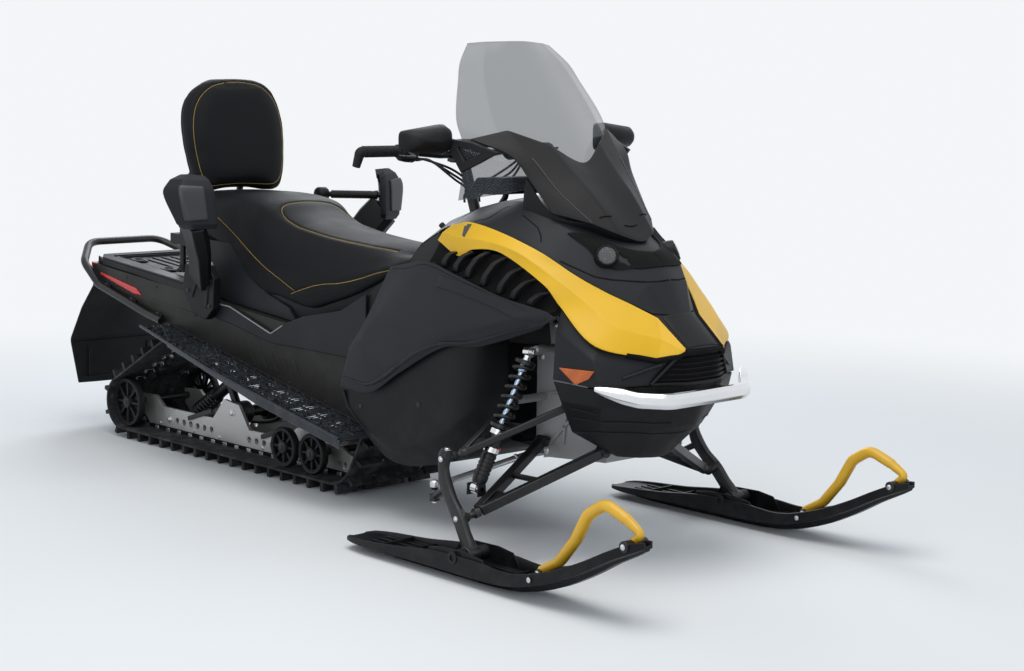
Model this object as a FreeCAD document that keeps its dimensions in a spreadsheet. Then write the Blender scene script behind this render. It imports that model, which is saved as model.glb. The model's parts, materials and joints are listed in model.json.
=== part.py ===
"""Two-seat touring snowmobile: chassis, track, front suspension, steering and skis.

Frame: +X forward, +Y to the rider's left, +Z up, millimetres.  The origin is on the
ground, midway between the rear bumper and the ski tips and midway between the skis.
"""
import FreeCAD, Part
import math
import os
from FreeCAD import Placement, Rotation, Vector

SIDES = (("right", -1.0), ("left", 1.0))

SIZES = {
    "ski_offset": 538.5,
    "track_width": 406.0,
    "track_loop": 3487.0,
    "belt_thickness": 8.0,
    "lug_height": 32.0,
    "lug_thickness": 14.0,
    "lug_count": 48.0,
    "side_lug_width": 84.0,
    "middle_lug_width": 164.0,
    "rear_idler_x": -1309.0,
    "rear_idler_radius": 90.0,
    "top_idler_x": -880.0,
    "top_idler_z": 392.0,
    "top_idler_radius": 62.0,
    "mid_idler_radius": 68.0,
    "mid_idler_rear_x": -341.0,
    "mid_idler_front_x": -186.0,
    "sprocket_radius": 92.0,
    "sprocket_z": 308.0,
    "rail_nose_radius": 130.0,
    "rail_nose_x": -60.0,
    "axle_radius": 12.5,
    "wheel_offset": 165.0,
    "wheel_width": 26.0,
    "rail_offset": 95.0,
    "rail_thickness": 12.0,
    "tunnel_half_width": 220.0,
    "tunnel_rear_x": -1460.0,
    "tunnel_front_x": 250.0,
    "tunnel_sheet": 4.0,
    "board_thickness": 4.0,
    "board_lip": 28.0,
    "panel_thickness": 4.0,
    "flap_thickness": 6.0,
    "glass_thickness": 4.0,
    "deck_height": 30.0,
    "rear_bumper_radius": 15.0,
    "front_bumper_radius": 21.0,
    "hitch_bore": 13.0,
    "hitch_plate": 8.0,
    "backrest_thickness": 80.0,
    "lower_arm_radius": 14.0,
    "upper_arm_radius": 10.0,
    "shock_body_radius": 22.0,
    "shock_shaft_radius": 7.0,
    "spring_radius": 28.0,
    "tie_rod_radius": 9.0,
    "spindle_radius": 17.0,
    "ski_bolt_radius": 8.0,
    "bolt_clearance": 0.08,
    "ski_bolt_x": 1010.0,
    "ski_bolt_z": 66.0,
    "loop_radius": 15.0,
    "bar_radius": 11.0,
    "grip_radius": 17.0,
    "post_radius": 17.0,
    "grip_rod_radius": 13.0,
    "engine_length": 430.0,
    "engine_width": 420.0,
    "engine_height": 420.0,
    "engine_x": 520.0,
    "engine_z": 486.0,
}

# Steering geometry: the points that the moving bodies share, as (x, |y|, z).
UPPER_JOINT = (870.0, 480.0, 303.0)
LOWER_JOINT = (939.0, 496.0, 146.0)
ROD_END = (811.0, 498.0, 212.0)
ROD_INNER = (815.0, 130.0, 262.0)
POST_TOP = (352.0, 0.0, 1092.0)
POST_FOOT = (493.0, 0.0, 706.0)


def make_sheet(doc):
    """Write the driving sizes into the document's spreadsheet."""
    sheet = doc.addObject("Spreadsheet::Sheet", "sizes")
    for row, (name, value) in enumerate(SIZES.items(), start=1):
        sheet.set("A%d" % row, name)
        sheet.set("B%d" % row, repr(value))
        sheet.setAlias("B%d" % row, name)
    doc.recompute()
    return sheet


class Builder:
    """Makes sub-parts in one document and remembers them by node name."""

    def __init__(self, doc):
        self.doc = doc
        self.sheet = make_sheet(doc)
        self.nodes = []

    def size(self, name):
        """Read one driving size from the sheet."""
        return float(self.sheet.get(name))

    def node(self, item, name):
        """Label an object and list it as a node."""
        item.Label = name
        self.nodes.append(item)
        return item

    def shape(self, name, shape, place=None):
        """Add a node whose shape is worked out here."""
        item = self.doc.addObject("Part::Feature", name)
        item.Shape = shape
        item.Placement = place or Placement()
        return self.node(item, name)

    def body(self, name, place=None):
        """Start a PartDesign body that becomes a node."""
        item = self.doc.addObject("PartDesign::Body", name)
        item.Placement = place or Placement()
        return self.node(item, name)

    def sketch(self, body, name, plane, wires, lift=0.0):
        """Attach a sketch of closed polygons and circles to a body's origin plane."""
        item = body.newObject("Sketcher::SketchObject", name)
        origin = [f for f in body.Origin.OriginFeatures if f.Role == plane][0]
        item.AttachmentSupport = [(origin, "")]
        item.MapMode = "FlatFace"
        item.AttachmentOffset = Placement(Vector(0, 0, lift), Rotation())
        for wire in wires:
            if wire[0] == "circle":
                centre = Vector(wire[1], wire[2], 0)
                item.addGeometry(Part.Circle(centre, Vector(0, 0, 1), wire[3]))
                continue
            corners = [Vector(p[0], p[1], 0) for p in wire]
            for start, end in zip(corners, corners[1:] + corners[:1]):
                item.addGeometry(Part.LineSegment(start, end))
        return item

    def pad(self, body, sketch, name, length, both=True):
        """Pad a sketch, the length given as a sheet expression."""
        item = body.newObject("PartDesign::Pad", name)
        item.Profile = sketch
        item.Midplane = both
        item.setExpression("Length", length)
        return item

    def pocket(self, body, sketch, name, length, both=True):
        """Cut a sketch out of a body."""
        item = body.newObject("PartDesign::Pocket", name)
        item.Profile = sketch
        item.Midplane = both
        item.setExpression("Length", length)
        return item


# ---------------------------------------------------------------- shape helpers


def mirrored(point, side):
    """A right-hand or left-hand point from (x, |y|, z)."""
    return Vector(point[0], side * point[1], point[2])


def triangle(a, b, c):
    """A flat face, or nothing where its corners meet."""
    if (b - a).cross(c - a).Length < 1e-3:
        return []
    return [Part.Face(Part.makePolygon([a, b, c, a]))]


def quad(a, b, c, d):
    """Two triangles between four corners."""
    return triangle(a, b, c) + triangle(a, c, d)


def rounded(point):
    """A point to the nearest thousandth, so that neighbours share it exactly."""
    return Vector(round(point.x, 3), round(point.y, 3), round(point.z, 3))


def vertex_normals(grid):
    """The unit normal of a point grid at each of its points."""
    rows = len(grid)
    cols = len(grid[0])
    total = [[Vector() for _ in range(cols)] for _ in range(rows)]
    for i in range(rows - 1):
        for j in range(cols - 1):
            a, b = grid[i][j], grid[i + 1][j]
            c, d = grid[i + 1][j + 1], grid[i][j + 1]
            facet = (c - a).cross(d - b)
            for k, m in ((i, j), (i + 1, j), (i + 1, j + 1), (i, j + 1)):
                total[k][m] += facet
    return [[v.normalize() for v in row] for row in total]


def sheet_solid(grid, thickness, turned=False):
    """A closed wall of even thickness on a grid of points; turned picks each square's other diagonal."""
    normals = vertex_normals(grid)
    rows = len(grid)
    cols = len(grid[0])
    inner = [[rounded(grid[i][j] - normals[i][j] * thickness) for j in range(cols)] for i in range(rows)]
    faces = []
    for i in range(rows - 1):
        for j in range(cols - 1):
            square = [(i, j), (i + 1, j), (i + 1, j + 1), (i, j + 1)]
            if turned:
                square = square[1:] + square[:1]
            faces += quad(*[grid[k][m] for k, m in square])
            faces += quad(*[inner[k][m] for k, m in square[:1] + square[:0:-1]])
    rim = [(i, 0) for i in range(rows)] + [(rows - 1, j) for j in range(1, cols)]
    rim += [(i, cols - 1) for i in range(rows - 2, -1, -1)] + [(0, j) for j in range(cols - 2, 0, -1)]
    for (i, j), (k, m) in zip(rim, rim[1:] + rim[:1]):
        faces += quad(grid[i][j], inner[i][j], inner[k][m], grid[k][m])
    shell = Part.makeShell(faces)
    shell.sewShape()
    solid = Part.makeSolid(shell)
    if solid.Volume < 0:
        solid.reverse()
    return solid


def side_grid(rows, side):
    """A grid on one side of the machine from rows of (x, |y|, z)."""
    grid = [[mirrored(p, side) for p in row] for row in rows]
    if side < 0:
        grid = [row[::-1] for row in grid]
    return grid


def whole_grid(rows):
    """A grid across the machine from rows that run from the side to the centre."""
    grid = []
    for row in rows:
        right = [mirrored(p, -1.0) for p in row]
        left = [mirrored(p, 1.0) for p in row[-2::-1]]
        grid.append(right + left)
    return grid


def rounded_path(points, radius):
    """Straight runs joined by tangent arcs, as one wire."""
    edges = []
    start = points[0]
    for before, corner, after in zip(points, points[1:], points[2:]):
        into = (corner - before).normalize()
        out = (after - corner).normalize()
        turn = into.getAngle(out)
        room = 0.45 * min((corner - before).Length, (after - corner).Length)
        cut = min(radius * math.tan(turn / 2), room)
        bend = cut / math.tan(turn / 2)
        first = corner - into * cut
        last = corner + out * cut
        inward = (out - into).normalize()
        middle = corner + inward * (bend / math.cos(turn / 2) - bend)
        edges.append(Part.LineSegment(start, first).toShape())
        edges.append(Part.Arc(first, middle, last).toShape())
        start = last
    edges.append(Part.LineSegment(start, points[-1]).toShape())
    return Part.Wire(edges)


def tube(points, radius, bend=60.0):
    """A round bar along a path of straight runs and arcs."""
    path = rounded_path(points, bend)
    direction = points[1] - points[0]
    ring = Part.Wire(Part.makeCircle(radius, points[0], direction))
    return path.makePipeShell([ring], True, False)


def rod(start, end, radius):
    """A straight round bar."""
    return Part.makeCylinder(radius, (end - start).Length, start, end - start)


def prism(outline, half_width, lift=0.0):
    """A slab from an (x, z) outline, centred on y = lift."""
    corners = [Vector(x, lift - half_width, z) for x, z in outline]
    face = Part.Face(Part.makePolygon(corners + corners[:1]))
    return face.extrude(Vector(0, 2 * half_width, 0))


def skin_solid(sections):
    """A closed solid through sections that have the same number of corners."""
    wires = [Part.makePolygon(points + points[:1]) for points in sections]
    return Part.makeLoft(wires, True, True)


def join(shapes):
    """Fuse shapes into one."""
    return shapes[0].fuse(shapes[1:]).removeSplitter()


# ---------------------------------------------------------------- track and skid


def belt_circles(build, grow=0.0):
    """The circles that the belt wraps, in order round the loop."""
    inner = build.size("lug_height") + build.size("belt_thickness")
    rear_radius = build.size("rear_idler_radius")
    nose_radius = build.size("rail_nose_radius")
    return [
        (build.size("rear_idler_x"), inner + rear_radius, rear_radius + grow),
        (build.size("top_idler_x"), build.size("top_idler_z"), build.size("top_idler_radius") + grow),
        (sprocket_x(build), build.size("sprocket_z"), build.size("sprocket_radius") + grow),
        (build.size("rail_nose_x"), inner + nose_radius, nose_radius + grow),
    ]


def belt_runs(circles):
    """Tangent points of a clockwise loop round circles, as (leave, arrive) pairs."""
    runs = []
    for (x1, z1, r1), (x2, z2, r2) in zip(circles, circles[1:] + circles[:1]):
        along = Vector(x2 - x1, 0, z2 - z1)
        span = along.Length
        along.normalize()
        across = Vector(-along.z, 0, along.x)
        lean = (r1 - r2) / span
        out = along * lean + across * math.sqrt(1 - lean * lean)
        runs.append((Vector(x1, 0, z1) + out * r1, Vector(x2, 0, z2) + out * r2))
    return runs


def belt_wire(circles):
    """The closed wire of a loop round circles."""
    runs = belt_runs(circles)
    edges = []
    for index, (leave, arrive) in enumerate(runs):
        edges.append(Part.LineSegment(leave, arrive).toShape())
        x, z, radius = circles[(index + 1) % len(circles)]
        centre = Vector(x, 0, z)
        following = runs[(index + 1) % len(runs)][0]
        middle = ((arrive - centre) + (following - centre)).normalize() * radius
        edges.append(Part.Arc(arrive, centre + middle, following).toShape())
    return Part.Wire(edges)


def sprocket_x(build):
    """Where the drive axle sits for the belt to have its real length."""
    inner = build.size("lug_height") + build.size("belt_thickness")
    half = build.size("belt_thickness") / 2
    low, high = 40.0, 400.0
    for _ in range(40):
        middle = (low + high) / 2
        circles = [
            (build.size("rear_idler_x"), inner + build.size("rear_idler_radius"),
             build.size("rear_idler_radius") + half),
            (build.size("top_idler_x"), build.size("top_idler_z"), build.size("top_idler_radius") + half),
            (middle, build.size("sprocket_z"), build.size("sprocket_radius") + half),
            (build.size("rail_nose_x"), inner + build.size("rail_nose_radius"),
             build.size("rail_nose_radius") + half),
        ]
        if belt_wire(circles).Length < build.size("track_loop"):
            low = middle
        else:
            high = middle
    return low


def make_track(build):
    """The belt, one closed loop, with its cross lugs."""
    thickness = build.size("belt_thickness")
    width = build.size("track_width")
    count = int(build.size("lug_count"))
    height = build.size("lug_height")
    deep = build.size("lug_thickness")
    outer = belt_wire(belt_circles(build, thickness))
    inner = belt_wire(belt_circles(build, 0.0))
    belt = Part.Face(outer).cut(Part.Face(inner)).extrude(Vector(0, width, 0))
    belt.translate(Vector(0, -width / 2, 0))
    lugs = []
    edge = width / 2 - 8
    paddles = [(-edge, build.size("side_lug_width")), (edge - build.size("side_lug_width"),
               build.size("side_lug_width")), (-build.size("middle_lug_width") / 2,
               build.size("middle_lug_width"))]
    for start, along in loop_stations(outer, count):
        outward = Vector(-along.z, 0, along.x)
        turn = Rotation(along, Vector(0, 1, 0), outward, "XZY")
        for low, wide in paddles:
            lug = Part.makeBox(deep, wide, height + thickness / 2)
            lug.translate(Vector(-deep / 2, low, -thickness / 2))
            lug.Placement = Placement(start, turn).multiply(lug.Placement)
            lugs.append(lug)
    return build.shape("track", join([belt] + lugs))


def loop_stations(wire, count):
    """Evenly spaced points and directions round a closed wire."""
    fine = 8
    points = wire.discretize(Number=count * fine + 1)[:-1]
    stations = []
    for index in range(0, len(points), fine):
        along = points[(index + 1) % len(points)] - points[index - 1]
        stations.append((points[index], along.normalize()))
    return stations


def make_idlers(build, name, axle_x, axle_z, radius):
    """One axle with two spoked wheels, turned about its own centre line."""
    body = build.body(name, Placement(Vector(axle_x, 0, axle_z), Rotation()))
    shaft = build.size("axle_radius")
    middle = build.size("wheel_offset")
    half = build.size("wheel_width") / 2
    hub = shaft + 14
    web = 4.0
    rim = radius - 16
    right = [
        (shaft, middle - half - 8), (hub, middle - half - 8), (hub, middle - web), (rim, middle - web),
        (rim, middle - half), (radius, middle - half), (radius, middle + half), (rim, middle + half),
        (rim, middle + web), (hub, middle + web), (hub, middle + half + 6), (0, middle + half + 6),
    ]
    left = [(r, -y) for r, y in right[::-1]]
    profile = build.sketch(body, name + "_profile", "XY_Plane", [right + left])
    turned = body.newObject("PartDesign::Revolution", name + "_turned")
    turned.Profile = profile
    turned.ReferenceAxis = (profile, ["V_Axis"])
    turned.Angle = 360
    gap = (hub + rim) / 2
    hole = ("circle", gap, 0, (rim - hub) * 0.34)
    window = build.sketch(body, name + "_window", "XZ_Plane", [hole])
    cut = build.pocket(body, window, name + "_cut", "sizes.track_width")
    spin = body.newObject("PartDesign::PolarPattern", name + "_windows")
    spin.Originals = [cut]
    spin.Axis = (window, ["N_Axis"])
    spin.Angle = 360
    spin.Occurrences = 6
    body.Tip = spin
    return body


def make_skid_rails(build):
    """Two slide rails with their cross tubes, axle bores and lightening holes."""
    belt = build.size("lug_height") + build.size("belt_thickness")
    floor = belt + 1.0
    body = build.body("skid_rails")
    outline = [
        (-1262, floor), (-60, floor), (-25, floor + 6), (5, floor + 22), (22, floor + 48), (14, floor + 62),
        (-60, floor + 66), (-130, floor + 92), (-240, floor + 92), (-290, floor + 118), (-366, floor + 118),
        (-420, floor + 72), (-640, floor + 70), (-700, floor + 150), (-790, floor + 160), (-860, floor + 84),
        (-1180, floor + 82), (-1230, floor + 118), (-1330, floor + 112), (-1330, floor + 60),
    ]
    across = "2 * sizes.rail_offset + sizes.rail_thickness"
    plate = build.sketch(body, "rail_outline", "XZ_Plane", [outline])
    build.pad(body, plate, "rail_plates", across)
    room = build.sketch(body, "rail_room", "XZ_Plane", [[(-1400, 0), (100, 0), (100, 320), (-1400, 320)]])
    build.pocket(body, room, "rail_gap", "2 * sizes.rail_offset - sizes.rail_thickness")
    shafts = [("circle", x, floor + up, 14.0) for x, up in ((-1140, 40), (-740, 118), (-300, 88), (-30, 34))]
    tubes = build.sketch(body, "cross_tubes", "XZ_Plane", shafts)
    build.pad(body, tubes, "cross_shafts", across)
    bore = build.size("axle_radius") + 0.7
    holes = [("circle", build.size("rear_idler_x"), belt + build.size("rear_idler_radius"), bore)]
    for word in ("rear", "front"):
        axle_x = build.size("mid_idler_%s_x" % word)
        holes.append(("circle", axle_x, belt + build.size("mid_idler_radius"), bore))
    holes += [("circle", x, floor + 40, 11.0) for x in range(-1090, -860, 44)]
    holes += [("circle", x, floor + 38, 11.0) for x in range(-640, -420, 44)]
    holes += [("circle", x, floor + 34, 9.0) for x in range(-130, -60, 30)]
    row = build.sketch(body, "rail_hole_row", "XZ_Plane", holes)
    build.pocket(body, row, "rail_holes", across)
    return body


def make_skid_arms(build):
    """The two swinging arms that carry the rails, and the shock between them."""
    floor = build.size("lug_height") + build.size("belt_thickness") + 1.0
    clear = 14.7
    offset = Vector(0, 70, 0)
    sleeve = Vector(0, 80, 0)
    reach = Vector(0, 213, 0)
    top = Vector(build.size("top_idler_x"), 0, build.size("top_idler_z"))
    low = Vector(-740, 0, floor + 118)
    rear = [rod(low - offset, top - offset, 15), rod(low + offset, top + offset, 15)]
    rear.append(rod(top - reach, top + reach, 14))
    rear.append(rod(low - sleeve, low + sleeve, 20))
    for side in (-1, 1):
        hub = top + Vector(0, side * 110, 0)
        rear.append(rod(hub - Vector(0, 12, 0), hub + Vector(0, 12, 0), build.size("top_idler_radius") - 1))
    build.shape("skid_rear_arm", join(rear).cut(rod(low - reach, low + reach, clear)))
    foot = Vector(-300, 0, floor + 88)
    head = Vector(-110, 0, 330)
    front = [rod(foot - offset, head - offset, 14), rod(foot + offset, head + offset, 14)]
    front.append(rod(head - reach, head + reach, 14))
    front.append(rod(foot - sleeve, foot + sleeve, 20))
    build.shape("skid_front_arm", join(front).cut(rod(foot - reach, foot + reach, clear)))
    eye = Vector(-1140, 0, floor + 40)
    head = Vector(-826, 0, floor + 236)
    third = eye + (head - eye) * 0.5
    shock = [rod(eye, head, 8), rod(third, head, 22), rod(eye - offset * 0.3, eye + offset * 0.3, 20)]
    build.shape("skid_shock", join(shock).cut(rod(eye - reach, eye + reach, clear)))


def make_drive_axle(build):
    """The drive shaft with its two toothed sprockets."""
    name = "drive_axle"
    centre = Vector(sprocket_x(build), 0, build.size("sprocket_z"))
    shaft = rod(centre - Vector(0, 212, 0), centre + Vector(0, 212, 0), 15)
    pieces = [shaft]
    teeth = 8
    radius = build.size("sprocket_radius") - 4
    for side in (-1, 1):
        hub = centre + Vector(0, side * 70, 0)
        outline = []
        for index in range(teeth * 2):
            angle = math.pi * index / teeth
            reach = radius if index % 2 else radius - 16
            outline.append(hub + Vector(reach * math.cos(angle), -14, reach * math.sin(angle)))
        face = Part.Face(Part.makePolygon(outline + outline[:1]))
        pieces.append(face.extrude(Vector(0, 28, 0)))
    return build.shape(name, join(pieces))


# ---------------------------------------------------------------- tunnel and rear


def tunnel_top(x):
    """Height of the tunnel's top sheet, which falls gently to the front."""
    return 637.0 - (x + 1460.0) * 0.086


def tunnel_low(x):
    """Height of the tunnel's lower edge, which carries the running boards."""
    return 227.0 + (284.0 - x) * 0.187


def make_tunnel(build):
    """The folded sheet channel over the track."""
    body = build.body("tunnel")
    rear = build.size("tunnel_rear_x")
    front = build.size("tunnel_front_x")
    outline = [(rear, tunnel_top(rear)), (front, tunnel_top(front)), (front, tunnel_low(front)),
               (rear, tunnel_low(rear))]
    side = build.sketch(body, "tunnel_outline", "XZ_Plane", [outline])
    build.pad(body, side, "tunnel_block", "2 * sizes.tunnel_half_width")
    wall = build.size("tunnel_sheet")
    inside = [(rear - 50, tunnel_top(rear) - wall + 4.3), (front - wall, tunnel_top(front) - wall),
              (front - wall, 100), (rear - 50, 100)]
    room = build.sketch(body, "tunnel_inside", "XZ_Plane", [inside])
    build.pocket(body, room, "tunnel_room", "2 * (sizes.tunnel_half_width - sizes.tunnel_sheet)")
    return body


def make_running_board(build, name, side):
    """One footboard: a sloping plate with a turned-down lip and grip windows."""
    slope = math.degrees(math.atan(0.187))
    place = Placement(Vector(284, 0, 227), Rotation(Vector(0, 1, 0), slope))
    body = build.body(name, place)
    inner = build.size("tunnel_half_width") + 0.5
    lip = 5.0
    wide = 375
    outer = [(-1268, inner), (-1110, 318), (-500, wide), (-60, wide), (-60, inner)]
    room = [(-1400, inner - 1), (-1400, 232), (-1108, 318 - lip), (-498, wide - lip), (0, wide - lip),
            (0, inner - 1)]
    outline = [(x, side * y) for x, y in outer]
    plate = build.sketch(body, name + "_plan", "XY_Plane", [outline], -build.size("board_lip"))
    build.pad(body, plate, name + "_block", "sizes.board_lip", False)
    under = [(x, side * y) for x, y in room]
    below = build.sketch(body, name + "_under", "XY_Plane", [under], -build.size("board_lip") - 10)
    cut = build.pocket(body, below, name + "_room", "sizes.board_lip - sizes.board_thickness + 10", False)
    cut.Reversed = True
    windows = []
    for column in range(12):
        x = -130 - 78 * column
        reach = wide if x > -500 else wide + (x + 500) * 0.093
        for row in range(2):
            near = inner + 18 + row * (reach - inner - 30) / 2
            far = near + (reach - inner - 30) / 2 - 14
            windows.append([(x, side * near), (x + 44, side * near), (x + 30, side * far), (x - 14, side * far)])
    grip = build.sketch(body, name + "_windows", "XY_Plane", windows)
    build.pocket(body, grip, name + "_grip", "4 * sizes.board_thickness")
    return body


def make_snow_flap(build):
    """The hanging flap behind the track, folded once."""
    rows = [
        [(-1472, 205, 566), (-1474, 0, 574)],
        [(-1560, 212, 462), (-1562, 0, 466)],
        [(-1646, 214, 330), (-1648, 0, 330)],
        [(-1653, 178, 160), (-1655, 0, 156)],
    ]
    grid = whole_grid(rows)[::-1]
    return build.shape("snow_flap", sheet_solid(grid, build.size("flap_thickness")))


def make_rear_bumper(build):
    """The rear grab loop, which runs forward along both sides of the tunnel."""
    right = [(-972, 238, 471), (-1070, 238, 488), (-1385, 238, 561), (-1489, 238, 637), (-1600, 150, 700)]
    points = [mirrored(p, -1) for p in right] + [mirrored(p, 1) for p in right[::-1]]
    return build.shape("rear_bumper", tube(points, build.size("rear_bumper_radius"), 60))


def make_rear_deck(build):
    """The luggage deck over the rear of the tunnel, with its anchor holes."""
    slope = math.degrees(math.atan(0.086))
    body = build.body("rear_deck", Placement(Vector(-1460, 0, 637.6), Rotation(Vector(0, 1, 0), slope)))
    plan = [(0, -175), (0, 175), (60, 214), (640, 214), (640, -214), (60, -214)]
    base = build.sketch(body, "deck_plan", "XY_Plane", [plan])
    build.pad(body, base, "deck_slab", "sizes.deck_height", False)
    height = build.size("deck_height")
    tray = [(70, -150), (70, 150), (560, 150), (560, -150)]
    top = build.sketch(body, "deck_tray", "XY_Plane", [tray], height)
    build.pocket(body, top, "deck_recess", "sizes.deck_height / 3", False)
    holes = [("circle", x, y, 8.0) for x in (140, 340) for y in (-110, 110)]
    anchors = build.sketch(body, "deck_anchors", "XY_Plane", holes)
    build.pocket(body, anchors, "deck_anchor_bores", "4 * sizes.deck_height")
    return body


def make_tail_lamp(build):
    """The red lamp across the rear end of the deck."""
    row = [(-1480, 200), (-1486, 180), (-1488, 0)]
    grid = []
    for z in (610.0, 636.0):
        grid.append([Vector(x, -y, z) for x, y in row] + [Vector(x, y, z) for x, y in row[-2::-1]])
    return build.shape("tail_lamp", sheet_solid(grid, 18.0))


def make_hitch(build):
    """The rear towing tongue on its cross tube, with an upright pin bore."""
    height = 590.0
    half = build.size("tunnel_half_width") - build.size("tunnel_sheet")
    tongue = Part.makeBox(90, 60, build.size("hitch_plate"), Vector(-1535, -30, height))
    bar = rod(Vector(-1446, -half, height + 4), Vector(-1446, half, height + 4), 12)
    bore = rod(Vector(-1510, 0, height - 20), Vector(-1510, 0, height + 40), build.size("hitch_bore") / 2)
    return build.shape("hitch", join([tongue, bar]).cut(bore))


# ---------------------------------------------------------------- seats


def make_seat_base(build):
    """The storage box that lifts the passenger's seat off the tunnel."""
    outline = [
        (-720, tunnel_top(-720) + 1), (-250, tunnel_top(-250) + 1), (-288, 582), (-405, 618), (-501, 682),
        (-598, 766), (-985, 778), (-985, 742), (-770, 728), (-722, 690),
    ]
    return build.shape("seat_base", prism(outline, 190.0))


def make_seat(build):
    """The long two-level seat cushion."""
    # station x, half width and height at the bottom, the waist and the top
    table = [
        (-990, 165, 784, 175, 850, 150, 898),
        (-960, 185, 784, 200, 855, 172, 916),
        (-604, 200, 773, 215, 840, 185, 922),
        (-470, 208, 668, 222, 740, 178, 912),
        (-390, 208, 620, 220, 705, 168, 880),
        (-300, 205, 594, 216, 670, 152, 848),
        (-170, 200, 577, 212, 650, 140, 824),
        (40, 188, 640, 198, 700, 122, 806),
        (237, 165, 734, 172, 765, 100, 800),
        (300, 118, 765, 122, 780, 80, 802),
    ]
    sections = []
    for x, low_half, low, mid_half, mid, top_half, top in table:
        right = [Vector(x, -low_half, low), Vector(x, -mid_half, mid), Vector(x, -top_half, top)]
        left = [Vector(v.x, -v.y, v.z) for v in right[::-1]]
        sections.append(right + left)
    return build.shape("seat", skin_solid(sections))


def make_backrest(build):
    """The passenger's back cushion, rounded at the top."""
    place = Placement(Vector(-842, 0, 930), Rotation(Vector(0, 1, 0), -8))
    body = build.body("backrest", place)
    outline = [
        (-150, 0), (150, 0), (176, 26), (196, 120), (202, 210), (190, 285), (160, 340), (110, 372),
        (50, 384), (-50, 384), (-110, 372), (-160, 340), (-190, 285), (-202, 210), (-196, 120), (-176, 26),
    ]
    face = build.sketch(body, "backrest_outline", "YZ_Plane", [outline])
    build.pad(body, face, "backrest_pad", "sizes.backrest_thickness")
    return body


def make_backrest_frame(build):
    """The steel hoop that holds the back cushion."""
    right = [(-1032, 120, 634), (-1018, 120, 932), (-908, 120, 1018), (-926, 120, 1150)]
    points = [mirrored(p, -1) for p in right] + [mirrored(p, 1) for p in right[::-1]]
    return build.shape("backrest_frame", tube(points, 12.0, 50))


def make_passenger_grip(build, name, side):
    """A passenger's handhold: base, raking arm, wind guard and grip rod."""
    base = [mirrored(p, side) for p in ((-770, 232, 560), (-640, 232, 545), (-650, 232, 660), (-740, 232, 672))]
    face = Part.Face(Part.makePolygon(base + base[:1]))
    foot = face.extrude(Vector(0, side * 34, 0))
    low = mirrored((-695, 250, 640), side)
    knee = mirrored((-600, 350, 760), side)
    high = mirrored((-535, 415, 870), side)
    arm = tube([low, knee, high], 26.0, 80)
    rows = [
        [(-600, 452, 1000), (-560, 470, 1012), (-520, 440, 1018), (-500, 396, 1000)],
        [(-560, 462, 930), (-518, 480, 930), (-478, 448, 930), (-470, 392, 925)],
        [(-560, 440, 840), (-522, 452, 835), (-486, 428, 832), (-482, 384, 838)],
    ]
    guard = sheet_solid(side_grid(rows[::-1], side), 14.0, side > 0)
    inner = mirrored((-700, 262, 925), side)
    outer = mirrored((-508, 440, 925), side)
    handle = rod(inner, outer, build.size("grip_rod_radius"))
    post = rod(mirrored((-700, 250, 600), side), inner, 14)
    knob = Part.makeSphere(19, inner)
    link = rod(high, mirrored((-505, 430, 880), side), 18)
    return build.shape(name, join([foot, arm, guard, handle, post, knob, link]))


# ---------------------------------------------------------------- body work


def make_engine(build):
    """The engine and its clutch, one plain block at its real place."""
    block = build.doc.addObject("Part::Box", "engine_block")
    block.setExpression("Length", "sizes.engine_length")
    block.setExpression("Width", "sizes.engine_width")
    block.setExpression("Height", "sizes.engine_height")
    corner = Vector(build.size("engine_x") - build.size("engine_length") / 2,
                    -build.size("engine_width") / 2, build.size("engine_z") - build.size("engine_height") / 2)
    block.Placement = Placement(corner, Rotation())
    return build.node(block, "engine_block")


def make_belly_pan(build):
    """The open-topped pan under the engine, which narrows to the suspension bay."""
    rows = [
        [(172, 322, 380), (185, 312, 330), (262, 262, 215), (262, 0, 215)],
        [(310, 330, 388), (312, 312, 250), (315, 262, 180), (315, 0, 178)],
        [(420, 334, 430), (420, 310, 235), (420, 262, 174), (420, 0, 172)],
        [(612, 334, 540), (600, 305, 300), (590, 262, 213), (590, 0, 210)],
        [(755, 318, 570), (720, 290, 380), (720, 225, 262), (720, 0, 252)],
        [(785, 205, 582), (785, 200, 440), (783, 190, 300), (783, 0, 256)],
    ]
    grid = whole_grid(rows)[::-1]
    return build.shape("belly_pan", sheet_solid(grid, build.size("panel_thickness")))


def make_console(build):
    """The cover between the seat and the hood, open round the steering post."""
    rows = [
        [(312, 168, 740), (310, 90, 772), (308, 0, 782)],
        [(392, 240, 790), (385, 120, 850), (382, 0, 868)],
        [(470, 262, 848), (462, 140, 912), (458, 0, 926)],
        [(565, 272, 892), (575, 150, 948), (570, 0, 960)],
    ]
    cover = sheet_solid(whole_grid(rows), build.size("panel_thickness"))
    opening = rod(Vector(*POST_FOOT), Vector(*POST_TOP), build.size("post_radius") + 10)
    return build.shape("console", cover.cut(opening))


def make_side_panel(build, name, side):
    """One faceted side panel, which ends in a free point at the front."""
    rows = [
        [(372, 300, 774), (300, 322, 632), (215, 330, 520), (163, 327, 392)],
        [(553, 315, 804), (398, 340, 668), (290, 346, 545), (318, 334, 394)],
        [(700, 324, 776), (590, 350, 657), (450, 350, 500), (456, 337, 468)],
        [(880, 324, 733), (790, 351, 645), (663, 348, 586), (653, 338, 566)],
        [(1043, 312, 708), (951, 335, 677), (815, 340, 608), (804, 327, 586)],
        [(1086, 308, 691), (1068, 311, 684), (1050, 313, 672), (1030, 309, 658)],
    ]
    return build.shape(name, sheet_solid(side_grid(rows, side), build.size("panel_thickness"), side > 0))


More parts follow.
